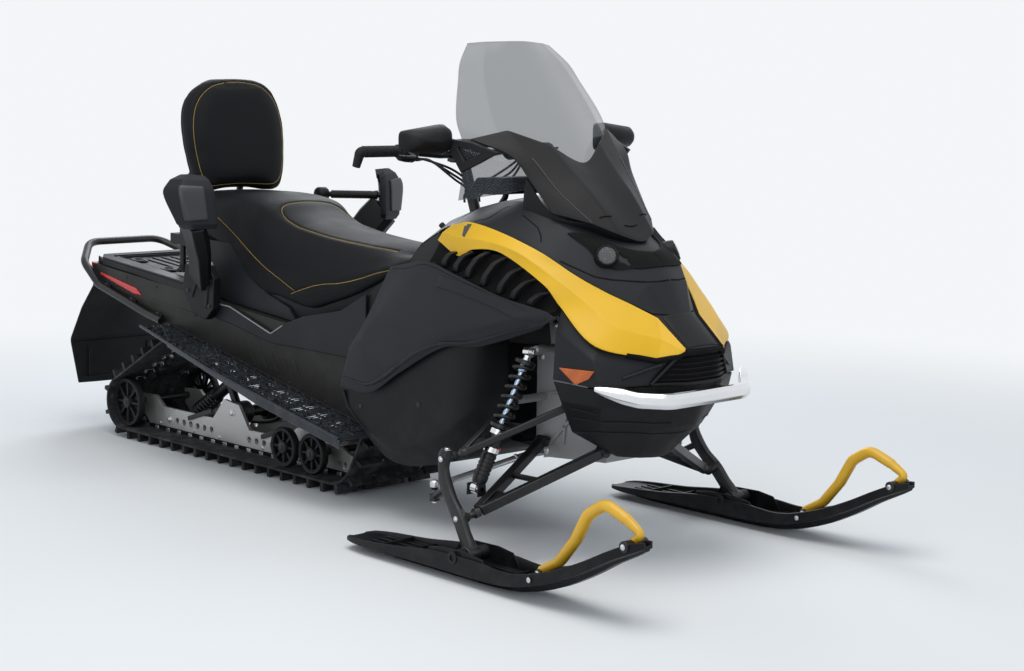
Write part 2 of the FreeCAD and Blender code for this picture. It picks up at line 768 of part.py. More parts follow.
def make_upper_panel(build, name, side):
    """The coloured panel from the tank to the nose."""
    rows = [
        [(634, 286, 914), (612, 304, 892), (588, 301, 868)],
        [(708, 284, 926), (696, 304, 880), (679, 303, 829)],
        [(820, 272, 905), (780, 300, 880), (740, 302, 852)],
        [(965, 255, 859), (905, 292, 858), (852, 297, 850)],
        [(1055, 208, 800), (1035, 262, 792), (1015, 285, 773)],
        [(1129, 166, 758), (1112, 238, 742), (1064, 273, 720)],
        [(1188, 128, 728), (1208, 205, 676), (1196, 267, 625)],
        [(1251, 84, 692), (1292, 112, 640), (1297, 134, 589)],
        [(1346, 75, 618), (1348, 80, 612), (1338, 90, 603)],
    ]
    return build.shape(name, sheet_solid(side_grid(rows, side), build.size("panel_thickness"), side > 0))


def make_hood(build):
    """The black centre section with the lamp sockets and the nose strip."""
    rows = [
        [(590, 278, 902), (605, 150, 958), (600, 0, 970)],
        [(708, 276, 919), (730, 160, 984), (730, 0, 996)],
        [(820, 264, 898), (830, 180, 985), (835, 0, 1000)],
        [(962, 247, 852), (930, 180, 945), (945, 0, 980)],
        [(1050, 200, 794), (1030, 150, 892), (1045, 0, 908)],
        [(1124, 158, 752), (1140, 108, 842), (1148, 0, 856)],
        [(1184, 120, 722), (1206, 78, 778), (1214, 0, 790)],
        [(1246, 77, 689), (1254, 42, 699), (1257, 0, 700)],
        [(1342, 68, 616), (1349, 35, 616), (1351, 0, 616)],
    ]
    return build.shape("hood", sheet_solid(whole_grid(rows), build.size("panel_thickness")))


def make_headlamp(build, name, side):
    """One lamp unit, set in front of the hood."""
    centre = mirrored((1122, 140, 864), side)
    aim = Vector(0.80, side * 0.40, 0.44)
    return build.shape(name, rod(centre + aim * 8, centre + aim * 24, 28.0))


def make_vent_duct(build, name, side):
    """The recessed duct wall between the coloured panel and the side panel."""
    rows = [
        [(585, 290, 862), (570, 298, 830), (553, 304, 800)],
        [(679, 293, 823), (660, 303, 804), (640, 312, 784)],
        [(850, 287, 843), (800, 298, 798), (767, 316, 750)],
        [(1010, 274, 766), (960, 290, 738), (901, 312, 720)],
        [(1054, 262, 716), (1050, 275, 704), (1035, 298, 698)],
    ]
    return build.shape(name, sheet_solid(side_grid(rows, side), build.size("panel_thickness"), side > 0))


def make_nose_cone(build):
    """The lower nose, from the side reflectors round to the grille opening."""
    rows = [
        [(1062, 264, 708), (1190, 258, 617), (1290, 128, 580), (1336, 70, 596), (1342, 0, 596)],
        [(1068, 290, 655), (1200, 280, 585), (1286, 142, 556), (1332, 62, 560), (1338, 0, 560)],
        [(1056, 287, 520), (1222, 272, 512), (1288, 150, 520), (1326, 62, 520), (1332, 0, 520)],
    ]
    return build.shape("nose_cone", sheet_solid(whole_grid(rows), build.size("panel_thickness")))


def make_nose_pan(build):
    """The black underside of the nose."""
    rows = [
        [(1056, 285, 514), (1218, 268, 506), (1282, 150, 512), (1324, 0, 512)],
        [(1080, 280, 463), (1212, 258, 458), (1286, 128, 452), (1330, 0, 456)],
        [(1082, 236, 372), (1160, 200, 372), (1256, 100, 385), (1310, 0, 400)],
        [(1124, 116, 300), (1136, 114, 297), (1172, 62, 292), (1190, 0, 290)],
    ]
    return build.shape("nose_pan", sheet_solid(whole_grid(rows), build.size("panel_thickness")))


def make_grille(build):
    """The slatted grille in the nose."""
    pieces = []
    slats = 5
    for index in range(slats):
        z = 526.0 + 14 * index
        row = [(1302, 150), (1346, 72), (1352, 0)]
        points = [Vector(x, -y, z) for x, y in row] + [Vector(x, y, z) for x, y in row[-2::-1]]
        grid = [[Vector(p.x + 2, p.y, p.z + 9) for p in points], points]
        pieces.append(sheet_solid(grid, 6.0))
    for y in (-62, 0, 62):
        pieces.append(Part.makeBox(5, 6, 64, Vector(1343.5 - abs(y) * 0.08, y - 3, 527)))
    return build.shape("grille", join(pieces))


def make_front_bumper(build):
    """The bright tube round the nose."""
    right = [(1226, 300, 516), (1308, 214, 488), (1362, 150, 484)]
    points = [mirrored(p, -1) for p in right] + [mirrored(p, 1) for p in right[::-1]]
    return build.shape("front_bumper", tube(points, build.size("front_bumper_radius"), 90))


def make_front_frame(build):
    """The cast bulkhead that carries the front suspension."""
    outline = [(806, 240), (860, 252), (1088, 270), (1098, 330), (1046, 470), (1040, 610), (1000, 660),
               (860, 660), (806, 560)]
    block = prism(outline, 108.0)
    inside = [(814, 290), (1070, 315), (1020, 470), (1012, 590), (985, 652), (865, 700), (814, 540)]
    frame = block.cut(prism(inside, 100.0))
    arch = rod(mirrored(ROD_INNER, -1), mirrored(ROD_INNER, 1), 26)
    frame = frame.cut(arch)
    tower = [rod(mirrored((948, 100, 584), s), mirrored((948, 250, 584), s), 13) for s in (-1, 1)]
    shelf = [rod(mirrored((1060, 60, 440), s), mirrored((1060, 218, 440), s), 12) for s in (-1, 1)]
    back = [rod(mirrored((835, 100, 426), s), mirrored((835, 218, 426), s), 12) for s in (-1, 1)]
    return build.shape("front_frame", join([frame] + tower + shelf + back))


def make_windshield(build):
    """The clear tall windshield."""
    rows = [
        [(557, 164, 1427), (592, 85, 1436), (609, 0, 1438)],
        [(606, 232, 1328), (662, 120, 1336), (684, 0, 1338)],
        [(656, 290, 1216), (735, 150, 1226), (766, 0, 1228)],
        [(690, 292, 1120), (805, 150, 1105), (846, 0, 1110)],
        [(658, 286, 984), (802, 150, 1022), (876, 0, 1048)],
    ]
    return build.shape("windshield", sheet_solid(whole_grid(rows), build.size("glass_thickness")))


def make_fairing(build):
    """The black winged fairing in front of the windshield."""
    rows = [
        [(712, 290, 1160), (768, 200, 1185), (835, 100, 1145), (872, 0, 1094)],
        [(830, 245, 1118), (865, 180, 1095), (912, 90, 1078), (928, 0, 1052)],
        [(878, 235, 1062), (945, 170, 1015), (995, 80, 1005), (1008, 0, 980)],
        [(972, 228, 962), (1055, 150, 935), (1090, 70, 905), (1108, 0, 886)],
    ]
    return build.shape("windshield_fairing", sheet_solid(whole_grid(rows), build.size("panel_thickness")))


def make_mirror(build, name, side):
    """One mirror head on its triangular arm."""
    sections = []
    for x, near, far, low, high in ((596, 310, 452, 1138, 1190), (612, 292, 462, 1124, 1200),
                                    (652, 300, 440, 1132, 1188)):
        sections.append([mirrored((x, near, low), side), mirrored((x, far, low + 12), side),
                         mirrored((x, far, high - 16), side), mirrored((x, near, high), side)])
    head = skin_solid(sections)
    outer = [mirrored(p, side) for p in ((632, 308, 1162), (802, 257, 1124), (700, 304, 1066))]
    arm = Part.Face(Part.makePolygon(outer + outer[:1]))
    arm = arm.extrude(Vector(0, side * 12, 0))
    return build.shape(name, join([head, arm]))


def make_gauge(build):
    """The instrument pod behind the windshield."""
    outline = [(470, 985), (600, 985), (650, 1046), (520, 1040)]
    return build.shape("gauge", prism(outline, 105.0))


# ---------------------------------------------------------------- front suspension


def make_arms(build, side, word):
    """The upper and lower wishbones of one side."""
    outer = mirrored((LOWER_JOINT[0] + 6, LOWER_JOINT[1] - 26, LOWER_JOINT[2] + 8), side)
    radius = build.size("lower_arm_radius")
    lower = [rod(outer, mirrored(p, side), radius) for p in ((1096, 128, 306), (848, 122, 300))]
    lower.append(Part.makeSphere(radius + 4, outer))
    joint = mirrored(LOWER_JOINT, side)
    lower.append(rod(outer, joint + (outer - joint).normalize() * 4, 9.0))
    lower.append(rod(mirrored((928, 408, 181), side), mirrored((884, 408, 196), side), 9.0))
    build.shape("lower_arm_" + word, join(lower))
    outer = mirrored((UPPER_JOINT[0] + 8, UPPER_JOINT[1] - 22, UPPER_JOINT[2] + 6), side)
    radius = build.size("upper_arm_radius")
    upper = [rod(outer, mirrored(p, side), radius) for p in ((1060, 232, 438), (835, 232, 424))]
    upper.append(Part.makeSphere(radius + 4, outer))
    upper.append(rod(outer, mirrored(UPPER_JOINT, side), 8.0))
    build.shape("upper_arm_" + word, join(upper))


def make_shock(build, side, word):
    """One coil-over shock, its spring as one sleeve."""
    low = mirrored((882, 407, 206), side)
    high = mirrored((945, 272, 582), side)
    along = high - low
    pieces = [rod(low, high, build.size("shock_shaft_radius"))]
    pieces.append(rod(low, low + along * 0.34, build.size("shock_body_radius")))
    spring = rod(low + along * 0.36, low + along * 0.92, build.size("spring_radius"))
    core = rod(low + along * 0.30, low + along, build.size("spring_radius") - 9)
    pieces.append(spring.cut(core))
    for start in (0.34, 0.92):
        pieces.append(rod(low + along * start, low + along * (start + 0.03), build.size("spring_radius") + 2))
    pieces.append(rod(high - Vector(18, 0, 0), high + Vector(18, 0, 0), 15))
    build.shape("shock_" + word, join(pieces))


def make_spindle(build, side, word):
    """One raking spindle with its ball joint ears and its steering arm."""
    leg = [(856, 508, 328), (902, 512, 236), (962, 524, 150), (1010, 538.5, 66)]
    points = [mirrored(p, side) for p in leg]
    radius = build.size("spindle_radius")
    pieces = [tube(points, radius, 150)]
    pieces.append(rod(mirrored(UPPER_JOINT, side) + Vector(0, side * 14, 0), mirrored((866, 511, 306), side), 13.0))
    ear = mirrored(LOWER_JOINT, side)
    pieces.append(rod(ear + Vector(0, side * 17, 0), mirrored((950, 524, 160), side), 12.0))
    arm_end = mirrored(ROD_END, side)
    pieces.append(rod(mirrored((908, 514, 222), side), arm_end - Vector(0, 0, 31), 11.0))
    bolt = mirrored((build.size("ski_bolt_x"), build.size("ski_offset"), build.size("ski_bolt_z")), side)
    pieces.append(rod(bolt - Vector(0, 70, 0), bolt + Vector(0, 70, 0), build.size("ski_bolt_radius")))
    pieces.append(rod(bolt - Vector(0, 24, 0), bolt + Vector(0, 24, 0), 20.0))
    build.shape("spindle_" + word, join(pieces))


def make_steering_link(build):
    """Both tie rods with the bar that joins them, which slides across."""
    radius = build.size("tie_rod_radius")
    pieces = []
    for _, side in SIDES:
        inner = mirrored(ROD_INNER, side)
        outer = mirrored(ROD_END, side)
        pieces.append(rod(inner, outer, radius))
        pieces.append(rod(outer - Vector(0, 0, 1), outer + Vector(0, 0, 14), 13.0))
    pieces.append(rod(mirrored(ROD_INNER, -1), mirrored(ROD_INNER, 1), 14.0))
    build.shape("steering_link", join(pieces))


# ---------------------------------------------------------------- skis


def ski_section(x, half, keel, edge, floor, top, centre):
    """One cross section of a ski: a channel with a keel below."""
    wall = min(9.0, half * 0.4)
    foot = min(26.0, half * 0.5)
    half_points = [(half, top), (half, edge), (foot, edge - 3), (foot * 0.6, keel)]
    right = [Vector(x, centre - y, z) for y, z in half_points]
    left = [Vector(x, centre + y, z) for y, z in half_points[::-1]]
    inner = [(half - wall, top), (half - wall - 2, floor)]
    upper = [Vector(x, centre + y, z) for y, z in inner]
    lower = [Vector(x, centre - y, z) for y, z in inner[::-1]]
    return right + left + upper + lower


def make_ski(build, side, word):
    """One ski, turned up at both ends, bored for its bolt."""
    # station x, half width, keel, edge, channel floor and rim heights
    table = [
        (523, 34, 22, 26, 32, 35),
        (545, 54, 16, 24, 33, 38),
        (620, 66, 4, 22, 36, 46),
        (760, 70, 0, 24, 36, 62),
        (920, 70, 0, 25, 36, 84),
        (1100, 70, 0, 25, 36, 88),
        (1230, 70, 3, 30, 44, 80),
        (1350, 69, 22, 55, 72, 104),
        (1460, 66, 66, 94, 112, 142),
        (1560, 58, 124, 144, 162, 192),
        (1620, 42, 162, 176, 194, 222),
        (1655, 20, 190, 200, 214, 228),
    ]
    centre = side * build.size("ski_offset")
    sections = [ski_section(*row, centre) for row in table]
    blank = skin_solid(sections)
    bolt = Vector(build.size("ski_bolt_x"), centre, build.size("ski_bolt_z"))
    bore = rod(bolt - Vector(0, 90, 0), bolt + Vector(0, 90, 0), build.size("ski_bolt_radius") + build.size("bolt_clearance"))
    return build.shape("ski_" + word, blank.cut(bore))


def make_ski_loop(build, side, word):
    """The coloured hand loop of one ski."""
    route = [(1285, 76), (1350, 112), (1408, 180), (1450, 252), (1510, 290), (1585, 262), (1634, 234),
             (1606, 212)]
    centre = side * build.size("ski_offset")
    points = [Vector(x, centre, z) for x, z in route]
    return build.shape("ski_loop_" + word, tube(points, build.size("loop_radius"), 60))


# ---------------------------------------------------------------- steering


def make_steering(build):
    """The post, and the bar with its grips and hooked ends."""
    top = Vector(*POST_TOP)
    foot = Vector(*POST_FOOT)
    along = (top - foot).normalize()
    build.shape("steering_post", rod(foot, top - along * 22, build.size("post_radius")))
    route = [(321, 388, 1068), (335, 384, 1112), (342, 240, 1112), (350, 90, 1098)]
    right = [mirrored(p, -1) for p in route]
    left = [mirrored(p, 1) for p in route[::-1]]
    bar = tube(right + left, build.size("bar_radius"), 30)
    clamp = Part.makeBox(60, 90, 44, Vector(322, -45, 1078))
    pieces = [bar, clamp]
    for _, side in SIDES:
        pieces.append(rod(mirrored((336, 378, 1112), side), mirrored((342, 250, 1112), side),
                          build.size("grip_radius")))
        pieces.append(rod(mirrored((342, 245, 1108), side), mirrored((348, 190, 1100), side), 27.0))
    return build.shape("handlebar", join(pieces))


# ---------------------------------------------------------------- whole machine


def make_all(build):
    """Make every sub-part in the order rear to front."""
    make_track(build)
    inner = build.size("lug_height") + build.size("belt_thickness")
    rear = build.size("rear_idler_radius")
    middle = build.size("mid_idler_radius")
    make_idlers(build, "idlers_rear", build.size("rear_idler_x"), inner + rear, rear - 0.5)
    for word in ("rear", "front"):
        axle_x = build.size("mid_idler_%s_x" % word)
        make_idlers(build, "idlers_mid_" + word, axle_x, inner + middle, middle - 0.5)
    make_drive_axle(build)
    make_skid_rails(build)
    make_skid_arms(build)
    make_tunnel(build)
    make_snow_flap(build)
    make_rear_bumper(build)
    make_rear_deck(build)
    make_tail_lamp(build)
    make_hitch(build)
    make_seat_base(build)
    make_seat(build)
    make_backrest(build)
    make_backrest_frame(build)
    make_engine(build)
    make_belly_pan(build)
    make_console(build)
    make_hood(build)
    make_nose_cone(build)
    make_nose_pan(build)
    make_grille(build)
    make_front_bumper(build)
    make_front_frame(build)
    make_windshield(build)
    make_fairing(build)
    make_gauge(build)
    make_steering(build)
    make_steering_link(build)
    for word, side in SIDES:
        make_running_board(build, "running_board_" + word, side)
        make_passenger_grip(build, "passenger_grip_" + word, side)
        make_side_panel(build, "side_panel_" + word, side)
        make_upper_panel(build, "upper_panel_" + word, side)
        make_vent_duct(build, "vent_duct_" + word, side)
        make_headlamp(build, "headlamp_" + word, side)
        make_mirror(build, "mirror_" + word, side)
        make_arms(build, side, word)
        make_shock(build, side, word)
        make_spindle(build, side, word)
        make_ski(build, side, word)
        make_ski_loop(build, side, word)


def check_and_write(build):
    """Refuse a failed object or an invalid shape, then write each node."""
    build.doc.recompute()
    for item in build.doc.Objects:
        if "Invalid" in item.State or "Error" in item.State:
            raise RuntimeError("failed object: " + item.Name)
    os.makedirs("parts", exist_ok=True)
    for item in build.nodes:
        if item.Shape.isNull() or not item.Shape.isValid():
            raise RuntimeError("bad shape: " + item.Label)
        item.Shape.exportStep("parts/%s.step" % item.Label)
        print("%-22s solids %d volume %10.0f" % (item.Label, len(item.Shape.Solids), item.Shape.Volume))


def main():
    """Build the document and write the parts."""
    build = Builder(FreeCAD.newDocument("snowmobile"))
    make_all(build)
    check_and_write(build)


main()
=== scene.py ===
"""Looks of a two-seat touring snowmobile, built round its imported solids.

Every length in the tables is in millimetres in the machine's own frame: +X forward,
+Y to the rider's left, +Z up, the origin on the ground.  Meshes are made in metres.
"""
import json
import logging
import math
from dataclasses import dataclass
from enum import Enum
from typing import Iterable, Sequence

import bmesh
import bpy
import numpy as np
from mathutils import Matrix, Vector
from mathutils.bvhtree import BVHTree
from mathutils.kdtree import KDTree

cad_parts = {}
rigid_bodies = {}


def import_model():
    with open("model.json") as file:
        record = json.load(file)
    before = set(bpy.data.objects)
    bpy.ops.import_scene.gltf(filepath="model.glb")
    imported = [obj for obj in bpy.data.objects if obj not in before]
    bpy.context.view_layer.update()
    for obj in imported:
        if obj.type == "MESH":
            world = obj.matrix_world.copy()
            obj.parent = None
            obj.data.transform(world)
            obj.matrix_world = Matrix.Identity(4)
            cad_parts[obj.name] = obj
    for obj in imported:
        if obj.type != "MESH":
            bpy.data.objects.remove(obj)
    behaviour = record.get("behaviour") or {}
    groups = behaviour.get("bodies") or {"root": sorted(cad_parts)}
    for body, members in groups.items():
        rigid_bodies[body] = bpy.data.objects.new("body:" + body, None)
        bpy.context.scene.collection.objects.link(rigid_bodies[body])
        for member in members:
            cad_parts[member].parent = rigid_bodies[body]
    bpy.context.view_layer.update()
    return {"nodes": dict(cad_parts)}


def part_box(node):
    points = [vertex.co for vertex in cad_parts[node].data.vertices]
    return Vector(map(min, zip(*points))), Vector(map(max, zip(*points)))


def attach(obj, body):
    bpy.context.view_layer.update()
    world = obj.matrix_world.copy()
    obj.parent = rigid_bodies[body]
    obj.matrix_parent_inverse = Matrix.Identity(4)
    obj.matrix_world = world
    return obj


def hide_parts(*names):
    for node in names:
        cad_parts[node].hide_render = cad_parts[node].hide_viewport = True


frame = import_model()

LOG = logging.getLogger("snowmobile")
Pair = tuple[float, float]
Point = tuple[float, float, float]
Row = Sequence[Point]
Path = Sequence[Vector]
Laid = tuple[Vector, Vector]
Piece = bpy.types.Object
Colour = tuple[float, float, float]
Nodes = dict[str, tuple[object, dict]]
Groups = dict[str, bpy.types.NodeTree]
AHEAD, UP = Vector((1, 0, 0)).freeze(), Vector((0, 0, 1)).freeze()


class Side(Enum):
    """The two sides of the machine, by the sign of their Y."""

    RIGHT = -1
    LEFT = 1

    @property
    def word(self) -> str:
        """The side's name in lower case."""
        return self.name.lower()

    @property
    def out(self) -> Vector:
        """The way outwards."""
        return Vector((0, self.value, 0))


class Body(Enum):
    """The CAD bodies that pieces ride on."""

    CHASSIS = "chassis"
    BARS = "bars"
    TIE_RODS = "tie_rods"
    SPINDLE_RIGHT = "spindle_body_right"
    SPINDLE_LEFT = "spindle_body_left"
    SKI_RIGHT = "ski_body_right"
    SKI_LEFT = "ski_body_left"

    @classmethod
    def spindle(cls, side: Side) -> "Body":
        """The spindle body of one side."""
        return cls.SPINDLE_RIGHT if side is Side.RIGHT else cls.SPINDLE_LEFT

    @classmethod
    def ski(cls, side: Side) -> "Body":
        """The ski body of one side."""
        return cls.SKI_RIGHT if side is Side.RIGHT else cls.SKI_LEFT


# ------------ points and paths


def mm(point: Sequence[float], side: Side | None = None) -> Vector:
    """A millimetre point in metres, where a side puts y, given as a size, on that side."""
    sign = side.value if side else 1
    return Vector((point[0], sign * point[1], point[2])) / 1000


def mms(points: Iterable[Sequence[float]], side: Side | None = None) -> list[Vector]:
    """Millimetre points in metres, on one side if a side is given."""
    return [mm(p, side) for p in points]


def both_sides(points: Sequence[Sequence[float]]) -> list[Vector]:
    """A whole route in metres, from its right half, outer end first, with y as a size."""
    return mms(points, Side.RIGHT) + mms(reversed(points), Side.LEFT)


def spline(points: Path, steps: int, closed: bool = False) -> list[Vector]:
    """Pass a smooth curve through points.

    Args:
        points: what the curve goes through.
        steps: how many spans each stretch is cut into.
        closed: whether the curve joins up.

    Returns:
        The points along the curve.
    """
    count = len(points)
    if count < 3:
        return [points[0].lerp(points[-1], i / steps) for i in range(steps + 1)]
    spans = count if closed else count - 1
    out: list[Vector] = []
    for i in range(spans):
        if closed:
            a, b, c, d = (points[(i + k) % count] for k in (-1, 0, 1, 2))
        else:
            b, c = points[i], points[i + 1]
            a = points[i - 1] if i else b * 2 - c
            d = points[i + 2] if i + 2 < count else c * 2 - b
        m1 = (c - a) / 2
        m2 = (d - b) / 2
        reach = (c - b).length
        m1 = m1.normalized() * min(m1.length, reach * 1.1)
        m2 = m2.normalized() * min(m2.length, reach * 1.1)
        for k in range(steps):
            t = k / steps
            t2, t3 = t * t, t * t * t
            out.append(b * (2 * t3 - 3 * t2 + 1) + m1 * (t3 - 2 * t2 + t) + c * (3 * t2 - 2 * t3)
                + m2 * (t3 - t2))
    if not closed:
        out.append(points[-1].copy())
    return out


def rounded(points: Path, radius: float, steps: int = 6, closed: bool = False) -> list[Vector]:
    """Round the corners of a run of straight lines.

    Args:
        points: the corners.
        radius: the bend radius in metres, less where a run is short.
        steps: spans to a bend.
        closed: whether the run joins up.

    Returns:
        The points along the rounded run.
    """
    count = len(points)
    out: list[Vector] = [] if closed else [points[0].copy()]
    for i in range(0 if closed else 1, count if closed else count - 1):
        before, corner, after = points[i - 1], points[i], points[(i + 1) % count]
        into, away = (before - corner), (after - corner)
        half = max(0.05, into.angle(away, math.pi) / 2)
        cut = min(radius / math.tan(half), 0.47 * into.length, 0.47 * away.length)
        first = corner + into.normalized() * cut
        last = corner + away.normalized() * cut
        for k in range(steps + 1):
            t = k / steps
            out.append(first * (1 - t) ** 2 + corner * 2 * t * (1 - t) + last * t * t)
    if not closed:
        out.append(points[-1].copy())
    return out


def evenly(points: Path, gap: float) -> list[Vector]:
    """Walk along a path in even steps.

    Args:
        points: the path.
        gap: the step in metres.

    Returns:
        Points a step apart.
    """
    out = [points[0].copy()]
    need = gap
    for a, b in zip(points, points[1:]):
        length = (b - a).length
        done = 0
        while length - done >= need and length > 1e-9:
            done += need
            out.append(a.lerp(b, done / length))
            need = gap
        need -= length - done
    return out


def frames_along(path: Path) -> list[Laid]:
    """Carry a pair of cross directions along a path without twist.

    Args:
        path: the points.

    Returns:
        Two unit vectors across the path at each point.
    """
    last = len(path) - 1
    tangents = [(path[min(i + 1, last)] - path[max(i - 1, 0)]).normalized() for i in range(last + 1)]
    up = UP if abs(tangents[0].z) < 0.9 else AHEAD
    across = tangents[0].cross(up).normalized()
    out = []
    for i, along in enumerate(tangents):
        if i:
            across = tangents[i - 1].rotation_difference(along) @ across
        across = (across - along * across.dot(along)).normalized()
        out.append((across, along.cross(across)))
    return out


def cross_ways(axis: Vector) -> tuple[Vector, Vector, Vector]:
    """Unit vectors along an axis and two ways across it."""
    along = axis.normalized()
    across = along.orthogonal().normalized()
    return along, across, along.cross(across)


def hoop(centre: Vector, across: Vector, over: Vector, radius: float, sides: int,
         flat: float = 1) -> list[Vector]:
    """A ring of points, its radius in millimetres and its height flat times its width."""
    turns = [2 * math.pi * k / sides for k in range(sides)]
    return [centre + (across * math.cos(a) + over * math.sin(a) * flat) * (radius / 1000) for a in turns]


def ribbed(start: float, pitch: float, count: int, high: float, low: float,
           steps: Sequence[float]) -> list[Pair]:
    """A profile of ribs, each high up to steps[0] and low from steps[1] to steps[2], in millimetres."""
    ends = (0, high), (steps[0], high), (steps[1], low), (steps[2], low)
    return [(start + k * pitch + step, radius) for k in range(count) for step, radius in ends]


# ------------ meshes


def link_object(name: str, data: bpy.types.ID) -> Piece:
    """Put an object with that data into the scene."""
    item = bpy.data.objects.new(name, data)
    bpy.context.scene.collection.objects.link(item)
    return item


def new_piece(name: str, verts: Path, faces: Sequence[Sequence[int]], sharp: float = 38) -> Piece:
    """Make an object from points and faces.

    Args:
        name: the piece's name.
        verts: the points in metres.
        faces: the faces as point numbers.
        sharp: the angle in degrees above which an edge stays sharp.

    Returns:
        The new object.
    """
    mesh = bpy.data.meshes.new(name)
    mesh.from_pydata([tuple(v) for v in verts], [], [tuple(f) for f in faces])
    mesh.validate()
    work = bmesh.new()
    work.from_mesh(mesh)
    bmesh.ops.recalc_face_normals(work, faces=work.faces)
    work.to_mesh(mesh)
    work.free()
    mesh.shade_smooth()
    mesh.set_sharp_from_angle(angle=math.radians(sharp))
    return link_object(name, mesh)


def modify(piece: Piece, name: str, kind: str, **values: object) -> bpy.types.Modifier:
    """Add a modifier to a piece.

    Args:
        piece: the object.
        name: the modifier's name.
        kind: its kind.
        values: its settings.

    Returns:
        The modifier.
    """
    item = piece.modifiers.new(name, kind)
    for key, value in values.items():
        setattr(item, key, value)
    return item


def bevelled(piece: Piece, width: float, angle: float, segments: int = 2) -> Piece:
    """Round a piece's edges.

    Args:
        piece: the object.
        width: the bevel's width in millimetres.
        angle: the least angle in degrees that is rounded.
        segments: how many faces the bevel has.

    Returns:
        The same object.
    """
    modify(piece, "edge_round", "BEVEL", width=width / 1000, segments=segments,
           angle_limit=math.radians(angle), miter_outer="MITER_ARC")
    return piece


class Pot:
    """Gathers closed shapes into one mesh."""

    TIP = 0.05  # the radius in millimetres at which a turned point ends

    def __init__(self) -> None:
        """Start with nothing."""
        self.verts: list[Vector] = []
        self.faces: list[list[int]] = []

    def add(self, verts: Path, faces: Sequence[Sequence[int]]) -> None:
        """Add one shape.

        Args:
            verts: its points.
            faces: its faces as numbers of those points.
        """
        base = len(self.verts)
        self.verts += [v.copy() for v in verts]
        self.faces += [[i + base for i in f] for f in faces]

    def rings(self, rings: Sequence[Path], closed: bool = False) -> None:
        """Skin a run of rings that have the same number of points.

        Args:
            rings: the rings in order.
            closed: whether the last ring meets the first, or else both ends are filled.
        """
        sides = len(rings[0])
        verts = [p for ring in rings for p in ring]
        faces = []
        count = len(rings)
        for i in range(count if closed else count - 1):
            for j in range(sides):
                a, b = i * sides + j, i * sides + (j + 1) % sides
                c, d = ((i + 1) % count) * sides + (j + 1) % sides, ((i + 1) % count) * sides + j
                faces.append([a, b, c, d])
        if not closed:
            faces.append(list(range(sides))[::-1])
            faces.append([(count - 1) * sides + j for j in range(sides)])
        self.add(verts, faces)

    def tube(self, path: Path, radius: float | Sequence[float], sides: int, flat: float = 1) -> None:
        """Sweep a round or oval section along a path.

        Args:
            path: the centre line in metres.
            radius: the radius in millimetres, one or one to each point.
            sides: how many faces go round.
            flat: the height of the section over its width.
        """
        radii = [radius] * len(path) if isinstance(radius, (int, float)) else list(radius)
        self.rings([hoop(point, *ways, r, sides, flat)
                    for point, r, ways in zip(path, radii, frames_along(path))])

    def lathe(self, origin: Vector, axis: Vector, profile: Sequence[Pair], sides: int) -> None:
        """Turn a profile about an axis.

        Args:
            origin: the start of the axis.
            axis: its direction.
            profile: (distance along, radius) pairs in millimetres.
            sides: how many faces go round.
        """
        along, across, over = cross_ways(axis)
        self.rings([hoop(origin + along * (reach / 1000), across, over, max(radius, self.TIP), sides)
                    for reach, radius in profile])

    def slab(self, outline: Path, push: Vector) -> None:
        """Extrude a flat outline by a vector in metres."""
        self.rings([list(outline), [p + push for p in outline]])

    def beam(self, start: Vector, end: Vector, wide: float, tall: float, up: Vector,
            taper: float = 1) -> None:
        """Add a straight bar of rectangular section.

        Args:
            start: the middle of its first end.
            end: the middle of its last end.
            wide: its size across in millimetres.
            tall: its size along up in millimetres.
            up: which way its height points.
            taper: the last end's size over the first's.
        """
        along = (end - start).normalized()
        across = along.cross(up).normalized()
        over = across.cross(along)
        rings = []
        for point, scale in ((start, 1), (end, taper)):
            a, b = across * (wide * scale / 2000), over * (tall * scale / 2000)
            rings.append([point - a - b, point + a - b, point + a + b, point - a + b])
        self.rings(rings)

    def revolve(self, origin: Vector, axis: Vector, section: Sequence[Pair], sides: int) -> None:
        """Turn a closed section that doesn't touch the axis.

        Args:
            origin: the start of the axis.
            axis: its direction.
            section: (distance along, radius) pairs in millimetres, in order round the section.
            sides: how many faces go round.
        """
        along, across, over = cross_ways(axis)
        rings = [[origin + along * (reach / 1000) + way * (radius / 1000) for reach, radius in section]
                 for way in hoop(Vector(), across, over, 1000, sides)]
        self.rings(rings, closed=True)

    def ball(self, centre: Vector, radius: float, sides: int = 20) -> None:
        """Add a ball.

        Args:
            centre: its centre.
            radius: its radius in millimetres.
            sides: how many faces go round.
        """
        half = sides // 2
        profile = [(-radius * math.cos(math.pi * k / half), radius * math.sin(math.pi * k / half))
            for k in range(half + 1)]
        self.lathe(centre, UP, profile, sides)

    def bolt(self, at: Vector, axis: Vector, radius: float, height: float) -> None:
        """Add a flanged hexagon bolt head, its radius and height in millimetres."""
        self.lathe(at, axis, [(-1, radius * 1.35), (1.2, radius * 1.35), (1.8, radius * 1.1)], 20)
        self.lathe(at, axis, [(1, radius), (height - 1, radius), (height, radius * 0.82)], 6)

    def coil(self, start: Vector, end: Vector, radius: float, wire: float, turns: float) -> None:
        """Wind a spring.

        Args:
            start: the centre of its first turn.
            end: the centre of its last turn.
            radius: the turns' radius in millimetres.
            wire: the wire's radius in millimetres.
            turns: how many turns.
        """
        along = end - start
        across = along.orthogonal().normalized()
        over = along.normalized().cross(across)
        steps = int(turns * 22)
        path = []
        for k in range(steps + 1):
            t = k / steps
            squeeze = min(1, t * turns / 1.2, (1 - t) * turns / 1.2)
            angle = 2 * math.pi * turns * t
            reach = radius / 1000 * (0.97 + 0.03 * squeeze)
            path.append(start + along * t + (across * math.cos(angle) + over * math.sin(angle)) * reach)
        self.tube(path, wire, 9)

